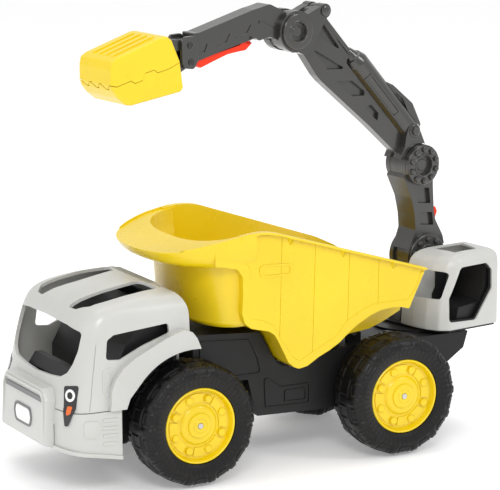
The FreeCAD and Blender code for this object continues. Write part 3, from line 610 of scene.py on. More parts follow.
def front_skirt():
    """The bumper that wraps round the cab's foot, with its rolled lower lip."""
    wide = 140
    skirt = bowed_solid(SKIRT_LEVELS, SKIRT_REAR)
    skirt = cut(skirt, bowed_solid([(30, 336.5, 116, 0), (125, 335.5, 115, 0)], 240))
    top = [(240, 115.6), (360, 115.6), (360, 140), (240, 140)]
    bottom = [(240, 30), (240, 45.5), (262, 48.5), (300, 56), (345, 63), (370, 64), (370, 30)]
    skirt = cut(skirt, prism(top, -wide, wide), prism(bottom, -wide, wide))
    lip = bowed_solid([(44, 342.5, 121.5, 0), (70, 342.5, 121.5, 0)], SKIRT_REAR)
    lip = cut(lip, bowed_solid([(30, 337, 116.5, 0), (90, 337, 116.5, 0)], 240))
    lip_line = [(262, 48.5), (300, 56), (345, 63), (345, 68), (300, 61), (262, 53.5)]
    lip = common(lip, prism(lip_line, -wide, wide))
    stand_in(fuse(skirt, lip), "front_bumper", WHITE, "vehicle", bevel=1.0, segments=3)


def skirt_pressings():
    """Bars and a round lamp pressed into each side of the skirt."""
    for side, side_name in SIDES:
        low, high = span(side, 114, 123)
        shapes = []
        for z in (101, 90.5, 80, 69.5):
            bar = rounded([(268, z), (290, z + 1), (290, z + 5.5), (268, z + 4.5)], 2)
            shapes.append(prism(bar, low, high))
        shapes.append(prism(rounded([(294, 80), (316, 84), (316, 106), (294, 104)], 7), low, high))
        whole = common(join(*shapes), bowed_solid(SKIRT_LEVELS, SKIRT_REAR, 1.0))
        whole = cut(whole, bowed_solid(SKIRT_LEVELS, SKIRT_REAR - 12, -1.0))
        finish(whole, "skirt_pressing_" + side_name, WHITE, "vehicle", bevel=0.4, slot="white_plastic")


def grille_box():
    """The box on the bumper: a hollow block with rounded front edges and a raised rim."""
    half, middle = 72, 102
    face = [(-half, 64), (half, 64), (70, 126), (60, 141), (-60, 141), (-70, 126)]
    face = rounded(face, [5, 5, 12, 10, 10, 12], 6)
    rings = []
    for x, grow in ((320, 1.0), (339, 0.6), (346, 0), (349, -1.2), (350, -3.0)):
        k = (half + grow) / half
        rings.append([(x - (z - 100) * 0.03, y * k, middle + (z - middle) * k) for y, z in face])
    hollow = prism([(-66, 50), (66, 50), (64, 124), (56, 134), (-56, 134), (-64, 124)], 300, 344, "x")
    skirt = bowed_solid([(48, 340.5, 120, 0), (95, 340.5, 119.5, 0)], 240)
    box = cut(loft(rings), hollow, bowed_solid(CAB_LEVELS, CAB_REAR, 0.2), skirt)
    outer = rounded([(-66, 66), (66, 66), (64, 124), (57, 137), (-57, 137), (-64, 124)], 8)
    inner = rounded([(-63.5, 60), (63.5, 60), (61.5, 123), (55, 134), (-55, 134), (-61.5, 123)], 7)
    rim = cut(prism(outer, 346, 351, "x"), prism(inner, 340, 352, "x"))
    stand_in(fuse(box, rim), "grille_box", WHITE, "vehicle", bevel=1.0, segments=3)


def grille_trim():
    """The grey stripe, and the badge as a plain white plate in a grey ring."""
    face = 349.0
    stripe = rounded([(-54, 123), (60, 123), (60, 129.5), (-54, 129.5)], 1.2)
    stand_in(prism(stripe, face, 351.2, "x"), "grille_stripe", LABEL_GREY, "vehicle", bevel=0.2)
    plate = rounded([(-24, 80), (24, 80), (28, 94), (24, 107), (-24, 107), (-28, 94)], 11, 8)
    middle = 93.5

    def shrunk(wide, tall):
        return [(y * wide, middle + (z - middle) * tall) for y, z in plate]

    ring = cut(prism(plate, face, 351.6, "x"), prism(shrunk(0.88, 0.80), 340, 360, "x"))
    stand_in(ring, "grille_badge", LABEL_GREY, "vehicle", bevel=0.3)
    badge = prism(shrunk(0.86, 0.76), face, 350.9, "x")
    finish(badge, "badge_face", LABEL_WHITE, "vehicle", bevel=0.3, slot="label_white")


LAMP_TURN = math.radians(42)
LAMP_CENTRE = (-146, 138)
LAMP_PANEL = [(-158, 148), (-134, 152), (-136, 122), (-147, 98), (-152, 98)]
# The skin that the lamp panel lies on: outside the skirt at its foot, on the cab above it.
LAMP_SKIN = [(80, 342, 120.5, 0), (116.5, 341, 119.7, 0), (121, 338.4, 117.4, 0)] + CAB_LEVELS[1:4]
LOW_SKIN = [(60, 340, 118, 0)] + CAB_LEVELS[:4]
RING_SKIN = [(100, 341, 118, 0)] + CAB_LEVELS[:4]


def oblique_prism(outline, side, low=200, high=360):
    """A slab seen from the cab's corner: the outline is (sideways, z) across the lamp's way."""
    way = Vector((math.cos(LAMP_TURN), side * math.sin(LAMP_TURN), 0))
    across = Vector((-math.sin(LAMP_TURN), side * math.cos(LAMP_TURN), 0))
    return loft([[way * t + across * a + Vector((0, 0, b)) for a, b in outline] for t in (low, high)])


def in_skin(piece, outer, grow, inner, sink):
    """The part of a slab that lies between two skins of the cab."""
    piece = common(piece, bowed_solid(outer, CAB_REAR, grow))
    return cut(piece, bowed_solid(inner, CAB_REAR - 5, -sink))


def headlights():
    """Dark lamp panels with a white ring and an orange marker at the cab's front corners."""
    for side, side_name in SIDES:
        panel = oblique_prism(rounded(LAMP_PANEL, [4, 4, 3, 2, 2]), side)
        panel = in_skin(panel, LAMP_SKIN, 0.5, LOW_SKIN, 0.8)
        stand_in(panel, "headlight_" + side_name, LABEL_BLACK, "vehicle", bevel=0)
        hole = oblique_prism(circle(LAMP_CENTRE, 4.6, 32), side, 190, 370)
        ring = cut(oblique_prism(circle(LAMP_CENTRE, 7.8, 40), side), hole)
        ring = in_skin(ring, CAB_LEVELS[:4], 1.3, RING_SKIN, 0.2)
        finish(ring, "lamp_ring_" + side_name, LABEL_WHITE, "vehicle", bevel=0, slot="label_white")
        marker = oblique_prism(rounded([(-149, 124), (-141, 125), (-142, 116), (-149, 112)], 2), side)
        marker = in_skin(marker, LAMP_SKIN, 0.9, LOW_SKIN, 0.2)
        finish(marker, "side_marker_" + side_name, LABEL_ORANGE, "vehicle", bevel=0, slot="red_plastic")


cab_shell()
door_panels()
front_skirt()
skirt_pressings()
grille_box()
grille_trim()
headlights()
keep("cab_liner", BLACK, 1.5)
keep("dashboard", BLACK, 2.5)

# ---------------------------------------------------------------- chassis


def raised_frame(outline, edge, radius, low, high):
    """A raised line of one width round an outline."""
    middle_x = sum(x for x, z in outline) / len(outline)
    middle_z = sum(z for x, z in outline) / len(outline)
    wide = 1 - edge / max(abs(x - middle_x) for x, z in outline)
    tall = 1 - edge / max(abs(z - middle_z) for x, z in outline)
    inner = [(middle_x + (x - middle_x) * wide, middle_z + (z - middle_z) * tall) for x, z in outline]
    return cut(prism(rounded(outline, radius), low, high), prism(rounded(inner, radius), low - 1, high + 1))


def chassis_details():
    """Raised pressings on the chassis sides."""
    for side, side_name in SIDES:
        frames = []
        for outline, edge, radius in (
            ([(125, 126), (125, 182), (48, 176), (36, 150), (30, 126)], 2.2, 5),
            ([(26, 118), (18, 118), (0, 104), (-46, 104), (-46, 74), (24, 76)], 2.2, 4),
            ([(-6, 98), (-40, 98), (-40, 80), (-6, 81)], 1.8, 3),
        ):
            frames.append(raised_frame(outline, edge, radius, *span(side, 75.5, 77.6)))
        name = "chassis_pressing_" + side_name
        finish(join(*frames), name, CHASSIS, "vehicle", bevel=0.5, slot="dark_grey_plastic")


keep("chassis", CHASSIS, 1.6)
chassis_details()
for material, nodes in (
    (STEEL, ("front_axle", "rear_axle", "axle_nuts", "bed_hinge_pin")),
    (STEEL, ("shoulder_pin", "elbow_pin", "lever_pin", "trigger_spring")),
    (DARK_STEEL, ("wrist_pin", "trigger_pin")),
    (BLACK, ("turntable_base", "turret_washer")),
    (ARM_GREY, ("cylinder_pin",)),
):
    for node in nodes:
        keep(node, material)

# ---------------------------------------------------------------- dump bed

HALF = 112.0
FLANGE = 119.2
RIM = [
    (-207, 256), (28, 327.5), (40, 330), (50, 331), (62, 331), (76, 330), (110, 324), (136, 318),
    (157, 313), (198, 307),
]
SIDE_LOW = [
    (-182, 200), (-170, 203.5), (-153, 204.5), (-137, 203), (-119, 197), (-100, 187), (-87, 178),
    (-71, 165), (-55, 156), (-39, 149), (-21, 138.5), (-8, 136), (0, 139), (9, 147), (24, 177),
    (30, 187), (38, 193), (66, 200), (76, 208), (80, 222), (78.5, 247), (79, 271), (86, 283), (104, 287.5),
]
PANEL_EDGE = [
    (114, 314), (113, 304), (103, 298), (84, 296), (70, 286), (66, 271), (70, 262), (73, 240), (72, 222),
    (66, 214), (49, 210), (33, 202), (22, 183), (2, 154), (-9, 147), (-28, 157), (-64, 174), (-82, 194),
    (-109, 208), (-125, 213), (-146, 214.5), (-180, 213.5), (-193, 229), (-200, 250),
]
PANEL_TOP = [(-202, 253.5), (28, 323.5), (62, 327), (108, 320.5)]
# Where one wall panel ends and the next begins, front to tail: the crease's x at its top and its foot.
CREASES = [(150, 150), (18, 24.5), (-34, -27), (-88, -81), (-134, -130), (-230, -230)]
CREASE_TOP, CREASE_FOOT = 360, 100
TAIL_DROP = 8.5
TROUGH_HALF = 80
TROUGH_LINE = [
    (-188, 191), (-158, 177), (-137, 170), (-107, 167), (-60, 151), (-30, 141), (-12, 134.5), (3, 142),
    (22, 176),
]
# Each level of the bed's round front and its visor: height, nose, half width.
FRONT_LEVELS = [(201, 118, 98), (204, 122, 101), (208, 124.5, 102.5), (250, 128, 103), (290, 132, 103.5)]
VISOR_LEVELS = [
    (287.5, 170, 109), (290.5, 177, 112.6), (295, 183, 115), (304, 190, 117.5), (345, 197.5, 119.5),
]
HOLLOW_LEVELS = [
    (205, 114, 95), (208.5, 119, 98.5), (285, 127.5, 100), (297, 129.5, 102), (306, 132.5, 105),
    (345, 136, 106.5),
]
HINGE = (-128, 160)


def dee_solid(levels):
    """A solid with a round nose and a flat rear at every level."""
    rear = 60.0
    rings = []
    for height, nose, half in levels:
        arc = nose_arc(rear + 12, nose, half, 2.5, height)
        rings.append([(rear, -half, height)] + arc + [(rear, half, height)])
    return loft(rings)


def offset_line(points, distance):
    """The line moved to its left by a distance."""
    result = []
    for i, (x, z) in enumerate(points):
        a, b = points[max(i - 1, 0)], points[min(i + 1, len(points) - 1)]
        run = Vector((b[0] - a[0], b[1] - a[1])).normalized()
        result.append((x - distance * run.y, z + distance * run.x))
    return result


def rim_drop(side, x):
    """How much lower the right wall's rim lies than the left wall's, falling away towards the tail."""
    return 0.0 if side > 0 else max(0.0, TAIL_DROP * (RIM[1][0] - x) / (RIM[1][0] - RIM[0][0]))


def rim_line(side):
    """The top edge of one wall; the right wall's tail corner is rounded off."""
    line = [(x, z - rim_drop(side, x)) for x, z in RIM]
    if side < 0:
        (tail_x, tail_z), (next_x, next_z) = line[:2]
        slope = (next_z - tail_z) / (next_x - tail_x)
        line[0] = (tail_x, tail_z - 9)
        line.insert(1, (tail_x + 16, tail_z - 4 + 16 * slope))
        line.insert(2, (tail_x + 45, tail_z + 45 * slope))
    return line


def above_rim(side):
    """All the space over one wall's top edge."""
    line = rim_line(side)
    line += [(215, 304), (215, 370), (-245, 370), (-245, line[0][1] - 11.5)]
    return prism(line, *span(side, 0, 150))


def hinge_ear(side):
    """A lug under the trough that turns on the hinge pin."""
    low, high = span(side, 43.5, 49.5)
    x, z = HINGE
    foot = prism([(x - 9, z), (x + 9, z), (x + 11, z + 16), (x - 11, z + 16)], low, high)
    return cut(fuse(disc(HINGE, 9, low, high), foot), disc(HINGE, 4.15, low - 1, high + 1))


def dump_bed():
    """The tipping bed: walls, trough, round front and visor, hollowed, trimmed and flanged."""
    base = rounded([(-207, 250)] + SIDE_LOW + [(104, 345), (-207, 345)], [0, 2] + [8] * 22 + [3, 0, 0], 4)
    trough_line = TROUGH_LINE + [(22, 260), (-188, 260)]
    trough = prism(rounded(trough_line, [3, 10, 14, 14, 14, 8, 8, 8, 6, 0, 0]), -TROUGH_HALF, TROUGH_HALF)
    bed = fuse(prism(base, -HALF, HALF), trough, dee_solid(FRONT_LEVELS), dee_solid(VISOR_LEVELS))
    hollow = [(-235, 207.5)] + offset_line(SIDE_LOW[1:18], WALL) + [(70.5, 214), (70.5, 360), (-235, 360)]
    trough_hollow = [(-220, 206)] + offset_line(TROUGH_LINE, WALL) + [(25, 265), (-220, 265)]
    bed = cut(
        bed,
        prism(hollow, WALL - HALF, HALF - WALL),
        prism(trough_hollow, WALL - TROUGH_HALF, TROUGH_HALF - WALL),
        dee_solid(HOLLOW_LEVELS),
        *[above_rim(side) for side, _ in SIDES],
    )
    dished = [(x, z - 2.4) for x, z in RIM if x >= 60] + [(215, 302), (215, 370), (60, 370)]
    dish = common(prism(dished, -150, 150), dee_solid([(250, 193.5, 115.5), (360, 194, 116)]))
    bed = cut(bed, dish)
    for side, _ in SIDES:
        line = [point for point in rim_line(side) if point[0] < 70] + [(84, 328.5)]
        flange = line + [(x, z - 3.2) for x, z in reversed(line)]
        bed = fuse(bed, prism(flange, *span(side, HALF - 2, FLANGE)))
    bed = fuse(bed, *[hinge_ear(side) for side, _ in SIDES])
    stand_in(bed, "dump_bed", YELLOW, "skip", bevel=1.0, segments=3)


def trim(piece, name, bevel, tidy=True):
    """A moulded detail of the bed, in the bed's own plastic."""
    finish(piece, name, YELLOW, "skip", bevel=bevel, slot="yellow_plastic", tidy=tidy)


def side_band(side):
    """The raised band between the side's lower edge and its panels."""
    outline = [(-206.5, 250)] + SIDE_LOW + [(120, 290), (120, 316)]
    line = rounded(outline, [0, 2] + [8] * 23 + [0, 0], 4) + rounded(PANEL_EDGE, [0] + [7] * 22 + [0], 4)
    return cut(prism(line, *span(side, HALF - 0.5, HALF + 1.4)), above_rim(side))


def wall_panels(side):
    """Thin panels with a narrow crease between each two."""
    panels = []
    for (front_top, front_foot), (tail_top, tail_foot) in zip(CREASES, CREASES[1:]):
        strip = [
            (front_top - 0.5, CREASE_TOP), (front_foot - 0.5, CREASE_FOOT), (tail_foot + 0.5, CREASE_FOOT),
            (tail_top + 0.5, CREASE_TOP),
        ]
        panel = prism(PANEL_EDGE + PANEL_TOP, *span(side, HALF - 0.4, HALF + 0.7))
        panels.append(cut(common(panel, prism(strip, -150, 150)), above_rim(side)))
    return join(*panels)


def pill_ring(side):
    """The plain pill-shaped ring on the side panel."""
    low, high = span(side, HALF, HALF + 2.0)
    pill = rounded([(3, 267), (53, 268), (54, 286), (4, 284)], 8.8, 8)
    hole = rounded([(6.5, 270.2), (50, 271), (50.8, 283), (7, 281)], 6, 8)
    return cut(prism(pill, low, high), prism(hole, low - 1, high + 1))


def rim_gussets(side):
    """Small wedges that hold the flange to the wall."""
    wall, edge, tip = side * (HALF - 0.5), side * (HALF + 6.5), side * (HALF + 4)
    gussets = []
    for x, rim in ((7, 318), (-75, 293), (-155, 268.5)):
        z = rim - rim_drop(side, x)
        verts = [
            (x - 6.5, wall, z), (x + 6.5, wall, z + 4), (x, wall, z - 13),
            (x - 6, edge, z), (x + 6, edge, z + 3.6), (x, tip, z - 1.5),
        ]
        gussets.append(make(verts, [(0, 1, 2), (3, 5, 4), (0, 3, 4, 1), (1, 4, 5, 2), (2, 5, 3, 0)]))
    return join(*gussets)


dump_bed()
for side, side_name in SIDES:
    trim(side_band(side), "bed_band_" + side_name, 0.9)
    trim(wall_panels(side), "bed_panels_" + side_name, 0.4)
    trim(pill_ring(side), "pill_plate_" + side_name, 0.6)
    trim(rim_gussets(side), "rim_gussets_" + side_name, 0.4, tidy=False)

# ---------------------------------------------------------------- digger cab

DIGGER_RIGHT, DIGGER_LEFT = 14, 90
DIGGER_WALL = 2.8
DIGGER_PLAN = [(-94, 14), (25, 14), (24, 40), (20, 62), (11, 80), (-3, 90), (-94, 90)]
# Each level: height, how far every side is drawn in, how far the front leans back.
DIGGER_LEVELS = [
    (153.6, 1.2, 0), (156, 0, 0), (180, 0, 2), (200, 0, 4), (220, 0, 8.5), (240, 0, 13), (248, 1, 16),
    (254, 3.4, 19.5), (258, 6.4, 24), (261, 11, 30), (262, 16, 36),
]
WINDOW = [(-21, 242), (-69, 243), (-79, 232), (-79.5, 205), (-50, 163), (-2, 165), (-2.5, 199)]
LINING_WINDOW = [(-23, 240), (-68, 240.5), (-77, 231), (-77, 206), (-49, 165), (-4, 167), (-4.5, 198)]


def digger_ring(height, inset, setback, shrink):
    """The cab's plan at one height, drawn in by the inset and shrunk by a wall's thickness."""
    points = []
    side = inset + shrink
    for x, y in rounded(DIGGER_PLAN, [3, 3, 8, 12, 14, 14, 9], 6):
        px = x - setback - side if x > -50 else x + side
        points.append((px, min(max(y, DIGGER_RIGHT + side), DIGGER_LEFT - side), height))
    return points


def digger_cab():
    """The shell of the rear cab and the dark lining that shows behind its openings."""
    inner = [digger_ring(140, 0, 0, DIGGER_WALL)]
    for height, inset, setback in DIGGER_LEVELS[1:]:
        roof = DIGGER_WALL if height > 230 else 0
        inner.append(digger_ring(height - roof, inset, setback, DIGGER_WALL))
    screen = rounded([(22, 196), (80, 198), (84, 236), (22, 238)], [3, 5, 6, 3], 5)
    light = rounded([(-72, 32), (-16, 32), (-24, 74), (-62, 76)], 6)
    shell = cut(
        cut(loft([digger_ring(*level, 0) for level in DIGGER_LEVELS]), loft(inner)),
        prism(rounded(WINDOW, [8, 8, 7, 6, 6, 6, 5], 6), 78, 110),
        prism(screen, -14, 60, "x"),
        prism(light, 246, 275, "z"),
    )
    stand_in(shell, "digger_cab", WHITE, "turret", bevel=1.1, segments=3)
    straight = [(height, 0.3, setback) for height, _, setback in DIGGER_LEVELS if 150 < height < 245]
    lining_inside = [(150, 0.3, 0)] + straight + [(250, 0.3, 16)]
    front_part = [(-30, 120), (60, 120), (60, 300), (-36, 300), (-36, 200), (-30, 190)]
    lining = cut(
        loft([digger_ring(*level, 3.2) for level in straight]),
        loft([digger_ring(*level, 5.2) for level in lining_inside]),
        prism(rounded(LINING_WINDOW, 6), 70, 110),
        prism(front_part, -10, 80),
    )
    finish(lining, "digger_lining", BLACK, "turret", bevel=0.4, slot="black_plastic")


digger_cab()
keep("digger_seat", BLACK, 2.5)
keep("turret_platform", CHASSIS, 0.8)

# ---------------------------------------------------------------- arm

# Half widths across the arm: where the two halves meet, the web, the booms, the cheeks, the covers.
MEETING = 0.08
UPPER_HALF = 7.6
BOOM_HALF = 13.5
NECK_HALF = 19
CHEEK_HALF = 21
THROUGH = 40
PIN_HOLE = 6.2
SMALL_HOLE = 3.1
BARREL_RADIUS = 17.2
BOLTS = 10

BOOM_RUN = Vector((WRIST[0] - ELBOW[0], WRIST[1] - ELBOW[1])).normalized()
ROD_RUN = Vector((ROD_EYE[0] - BARREL_EYE[0], 0, ROD_EYE[1] - BARREL_EYE[1])).normalized()
LEFTWARD = Vector((0, 1, 0))
ROD_UP = ROD_RUN.cross(LEFTWARD)
BARREL_END = Vector((BARREL_EYE[0], 0, BARREL_EYE[1]))


def along_boom(outline):
    """Points given as (along the upper boom from the elbow, above its line)."""
    u = BOOM_RUN
    return [(ELBOW[0] + a * u.x - b * u.y, ELBOW[1] + a * u.y + b * u.x) for a, b in outline]


def along_rod(radii, steps=40):
    """A round bar on the ram's line; radii is a list of (distance, radius)."""
    rings = []
    for at, r in radii:
        circle_points = circle((0, 0), r, steps)
        rings.append([BARREL_END + ROD_RUN * at + LEFTWARD * a + ROD_UP * b for a, b in circle_points])
    return loft(rings)


def bore(centre, radius, steps=48):
    """A cutter for a hole right through the arm."""
    return disc(centre, radius, -THROUGH, THROUGH, steps=steps)


def recess(outline, side, surface, depth, radius=2.5):
    """A cutter that sinks a rounded outline into a face."""
    return prism(rounded(outline, radius, 4), *span(side, surface - depth, surface + 6))


def bolt_heads(centre, ring, base, side):
    """Domed bolt heads evenly round a ring."""
    radius, rise = 4.2, 4.4
    profile = [
        (base, 0.01), (base, radius), (base + rise * 0.6, radius * 0.98), (base + rise * 0.9, radius * 0.8),
        (base + rise, radius * 0.45), (base + rise, 0.01),
    ]
    spots = [around(centre, ring, 2 * math.pi * (i + 0.5) / BOLTS) for i in range(BOLTS)]
    return [lathe(profile, spot, 18, side) for spot in spots]


def cover_rings(node, body, centre, radius, hole, bolt_ring=0, rise=0.0, well=0.8):
    """Round covers on both sides of a joint, with a sunk middle; the left one stands out by the rise
    and carries the bolt heads."""
    face = 21.05
    shapes = []
    for side, _ in SIDES:
        top = face + (rise if side > 0 else 0.0)
        floor = face + well
        profile = [
            (face, radius), (top + 1.6, radius), (top + 2.6, radius - 1.0), (top + 2.8, radius - 2.4),
            (top + 2.8, hole + 3.2), (top + 4.0, hole + 2.4), (top + 4.2, hole + 0.8), (top + 3.4, hole),
            (floor, hole - 0.8), (floor, hole * 0.62), (floor + 0.8, hole * 0.55), (floor + 0.8, 0.01),
        ]
        if well < 0:
            profile = [(floor - 0.8, 0.01), (floor - 0.8, hole - 0.8), (face, hole)] + profile
        else:
            profile = [(face, 0.01)] + profile
        shapes.append(lathe(profile, centre, 72, side))
        if bolt_ring and side > 0:
            shapes += bolt_heads(centre, bolt_ring, top + 2.0, side)
    stand_in(join(*shapes), node, ARM_GREY, body, bevel=0.35, limit=40, tidy=False)


def tower():
    """The post on the turret that carries the shoulder pivot."""
    half = 13
    outline = [(-64, 153.6), (14, 153.6), (2, 212), (1, 236), (-56, 236), (-57, 212)]
    panel = [(-50, 162), (0, 162), (-6, 204), (-46, 204)]
    post = prism(rounded(outline, [0, 0, 10, 3, 3, 10]), -half, half)
    post = fuse(post, disc(SHOULDER, 30, -half, half, steps=72))
    post = cut(post, disc(SHOULDER, PIN_HOLE, -half - 1, half + 1))
    post = cut(post, *[recess(panel, side, half, 2.5, 5) for side, _ in SIDES])
    stand_in(post, "shoulder_tower", ARM_GREY, "turret", place=ARM, bevel=1.2)


# The lower boom's web, and the cheek on its outer side.
LOWER_WEB = [
    (-42, 352), (-40, 338), (-46, 311), (-50, 293), (-64, 269), (-67, 256), (4, 256), (-4, 270),
    (-9, 283), (-7, 305), (-1, 330), (14, 361), (8, 368), (-36, 368),
]
LOWER_WEB_RADII = [3, 12, 20, 12, 12, 0, 0, 8, 10, 20, 14, 2, 0, 0]
NECK = [
    (-60, 256), (-54, 274), (-43, 296), (-41.5, 320), (-40, 346), (-40, 366), (8, 368), (14, 361),
    (-1, 330), (-7, 305), (-9, 283), (-4, 270), (4, 256),
]
NECK_RADII = [0, 10, 14, 14, 8, 0, 0, 2, 14, 20, 10, 8, 0]


def lower_boom(side, side_name):
    """A web between the shoulder and the elbow, a cheek with two sunk windows and two pivot discs."""
    web = prism(rounded(LOWER_WEB, LOWER_WEB_RADII), *span(side, MEETING, BOOM_HALF))
    web = cut(web, bore(SHOULDER, 31.5, 72), bore(ELBOW, 28.5, 72))
    low, high = span(side, 13.4, CHEEK_HALF)
    piece = fuse(
        web,
        prism(rounded(NECK, NECK_RADII), *span(side, 13.4, NECK_HALF)),
        disc(SHOULDER, 34, low, high, steps=84),
        disc(ELBOW, 29.2, low, high, steps=84),
    )
    piece = cut(
        piece,
        bore(SHOULDER, PIN_HOLE),
        bore(ELBOW, PIN_HOLE),
        recess([(-8.5, 344), (-33, 342), (-36, 319), (-13, 322)], side, NECK_HALF, 5.5, 1.5),
        recess([(-15.5, 309), (-39, 306), (-42, 287), (-17.5, 290)], side, NECK_HALF, 5.5, 1.5),
        prism([(-75, 282), (-75, 320), (-24, 320), (-24, 282)], -7, 7),
    )
    stand_in(piece, "lower_boom_" + side_name, ARM_GREY, "lower_arm", bevel=1.1)


UPPER_WEB = [
    (12, -12), (24, -10), (105, -12), (213, -18.5), (226, -18), (262, -11), (285, -4), (290, 20),
    (298, 42), (290, 56), (276, 50), (228, 40), (190, 36), (150, 40), (112, 52), (62, 54), (42, 48),
    (26, 40), (6, 22),
]
UPPER_WEB_RADII = [0, 4, 0, 10, 14, 6, 0, 0, 5, 6, 8, 8, 0, 0, 12, 14, 8, 6, 0]
WRIST_COLLAR = [
    (268, -14), (290, -22), (303, 10), (306, 26), (298, 44), (289, 61), (277, 55), (273, 30), (266, 0),
]
GUSSET = [(26, 30), (34, 46), (66, 58), (112, 55), (150, 42), (150, 34), (96, 38), (60, 26)]
GUSSET_SLOT = [(52, 40), (84, 52), (106, 50), (82, 44)]
BARREL_LUG = [(-40, 390), (-27, 402), (-17, 424), (-8, 437), (4, 434), (9, 420), (12, 404), (20, 388)]
UPPER_PANELS = (
    [(274.3, 43.1), (221.6, 34.8), (222.6, 32.5), (266.9, 22.4), (271.5, 28.9)],
    [(254.6, 4.2), (250.5, 6.7), (197.3, 19.4), (196.7, 16.7), (217.4, -0.2)],
    [(193.4, -1.8), (171.9, 15.6), (144.9, 18.4), (140, 14), (156.9, -0.2)],
    [(128, 1.5), (122, 12), (103, 11.5), (97, 2)],
)


def upper_boom(side, side_name):
    """One flat web with sunk panels, a clevis round each pivot and lugs for the ram."""
    piece = prism(rounded(along_boom(UPPER_WEB), UPPER_WEB_RADII), *span(side, MEETING, UPPER_HALF))
    piece = cut(piece, bore(ELBOW, 30.2, 72))
    low, high = span(side, MEETING, 13)
    cheek_low, cheek_high = span(side, 7, CHEEK_HALF)
    collar = rounded(along_boom(WRIST_COLLAR), [8, 0, 0, 0, 6, 8, 8, 10, 8])
    gusset = rounded(along_boom(GUSSET), [4, 6, 10, 8, 0, 0, 4, 4])
    lug = prism(rounded(BARREL_LUG, [0, 6, 8, 8, 8, 8, 8, 0]), *span(side, 5, 18))
    piece = fuse(
        piece,
        disc(ELBOW, 28.8, low, high, steps=72),
        prism(along_boom([(0, -14), (38, -10), (42, 40), (0, 20)]), low, high),
        prism(collar, cheek_low, cheek_high),
        disc(WRIST, 28.5, cheek_low, cheek_high, steps=84),
        disc(ROD_EYE, 10, cheek_low, cheek_high, steps=40),
        prism(gusset, *span(side, 6, 11)),
        cut(lug, bore(ELBOW, 30.2, 72)),
    )
    piece = cut(
        piece,
        disc(WRIST, 28.5, -13.5, 13.5, steps=72),
        disc(WRIST, 13.2, *span(side, 16.2, 30)),
        along_rod([(-10, BARREL_RADIUS + 0.3), (158, BARREL_RADIUS + 0.3)]),
        along_rod([(150, 5.9), (237, 5.9)], 24),
        disc(ROD_EYE, 9.6, -9.2, 9.2),
        bore(ELBOW, PIN_HOLE),
        bore(WRIST, PIN_HOLE),
        bore(ROD_EYE, SMALL_HOLE),
        bore(BARREL_EYE, SMALL_HOLE),
        *[recess(along_boom(panel), side, UPPER_HALF, 5.4, 1.5) for panel in UPPER_PANELS],
        prism(rounded(along_boom(GUSSET_SLOT), 2), *span(side, 8, 20)),
    )
    stand_in(piece, "upper_boom_" + side_name, ARM_GREY, "upper_arm", bevel=1.1, segments=3)


# The barrel's outline and its two pins, as (distance along, radius) and (y, radius).
BARREL = [
    (-6, 11), (-4, 16.6), (-1, BARREL_RADIUS), (138, BARREL_RADIUS), (141, 16.6), (150, 13), (151, 10.5),
    (163, 5.9), (164, 5.0),
]
ROD_PIN = [
    (-24, 0.01), (-24, 5), (-23, 7), (-21.2, 7.2), (-21.2, 3), (21.2, 3), (21.2, 7.2), (23, 7), (24, 5),
    (24, 0.01),
]
PIN_CAP = [
    (17.5, 0.01), (17.5, 9.5), (19, 9.3), (19.6, 8.2), (19.6, 6.6), (22.6, 6.2), (23.4, 5), (23.4, 0.01),
]


def barrel_patch(outline, near, far):
    """A block on the barrel's outer flank between two distances from its middle."""
    out = (LEFTWARD * 0.94 - ROD_UP * 0.34).normalized()
    across = ROD_RUN.cross(out)
    rows = []
    for level in (near, far):
        rows.append([BARREL_END + ROD_RUN * a + across * b + out * level for a, b in outline])
    return loft(rows)


def ram():
    """The moulded ram: barrel, rod, their pins and the empty label frame."""
    stem = prism([(-10.5, 420), (-0.5, 422), (12, 437), (2, 446)], -7, 7)
    barrel = join(along_rod(BARREL, 56), stem, disc(BARREL_EYE, 8.5, -7, 7))
    stand_in(barrel, "boom_cylinder", ARM_GREY, "upper_arm", bevel=0.6, tidy=False)
    rod = join(along_rod([(150, 4.6), (240, 4.6)], 32), disc(ROD_EYE, 9, -8.5, 8.5))
    stand_in(rod, "boom_rod", ARM_GREY, "upper_arm", bevel=0.8, tidy=False)
    stand_in(lathe(ROD_PIN, ROD_EYE, 32), "rod_pin", ARM_GREY, "upper_arm", bevel=0.3, tidy=False)
    slot = "dark_grey_plastic"
    caps = join(*[lathe(PIN_CAP, BARREL_EYE, 36, side) for side, _ in SIDES])
    finish(caps, "cylinder_pin_caps", ARM_GREY, "upper_arm", bevel=0.3, tidy=False, slot=slot)
    outline = rounded([(40, -6.5), (119, -6.5), (119, 6.5), (40, 6.5)], 2)
    hole = rounded([(42.5, -4.8), (116.5, -4.8), (116.5, 4.8), (42.5, 4.8)], 1.5)
    label = cut(barrel_patch(outline, BARREL_RADIUS - 2.8, BARREL_RADIUS + 0.8), barrel_patch(hole, 10, 24))
    finish(label, "barrel_frame", ARM_GREY, "upper_arm", bevel=0.3, slot=slot)


STICK = [
    (214, 606), (221, 611), (246, 623), (264, 619), (273, 617.5), (363, 593.5), (372, 593.5),
    (372, 549.5), (366, 556), (315, 568.8), (270, 579), (264, 575), (246, 579), (226, 570),
]
# The three hooked grooves on the stick's sides: foot, corner and tip.
HOOKS = (
    ((365.2, 564.3), (353.8, 567.6), (349.6, 577.3)),
    ((337.2, 572.1), (318.5, 577.3), (312.2, 587.8)),
    ((304.8, 581.9), (283.8, 587.3), (277.5, 597.0)),
)
HOOK_WIDTHS = ((0.3, 1.6), (1.2, 1.4), (1.7, 0.6))


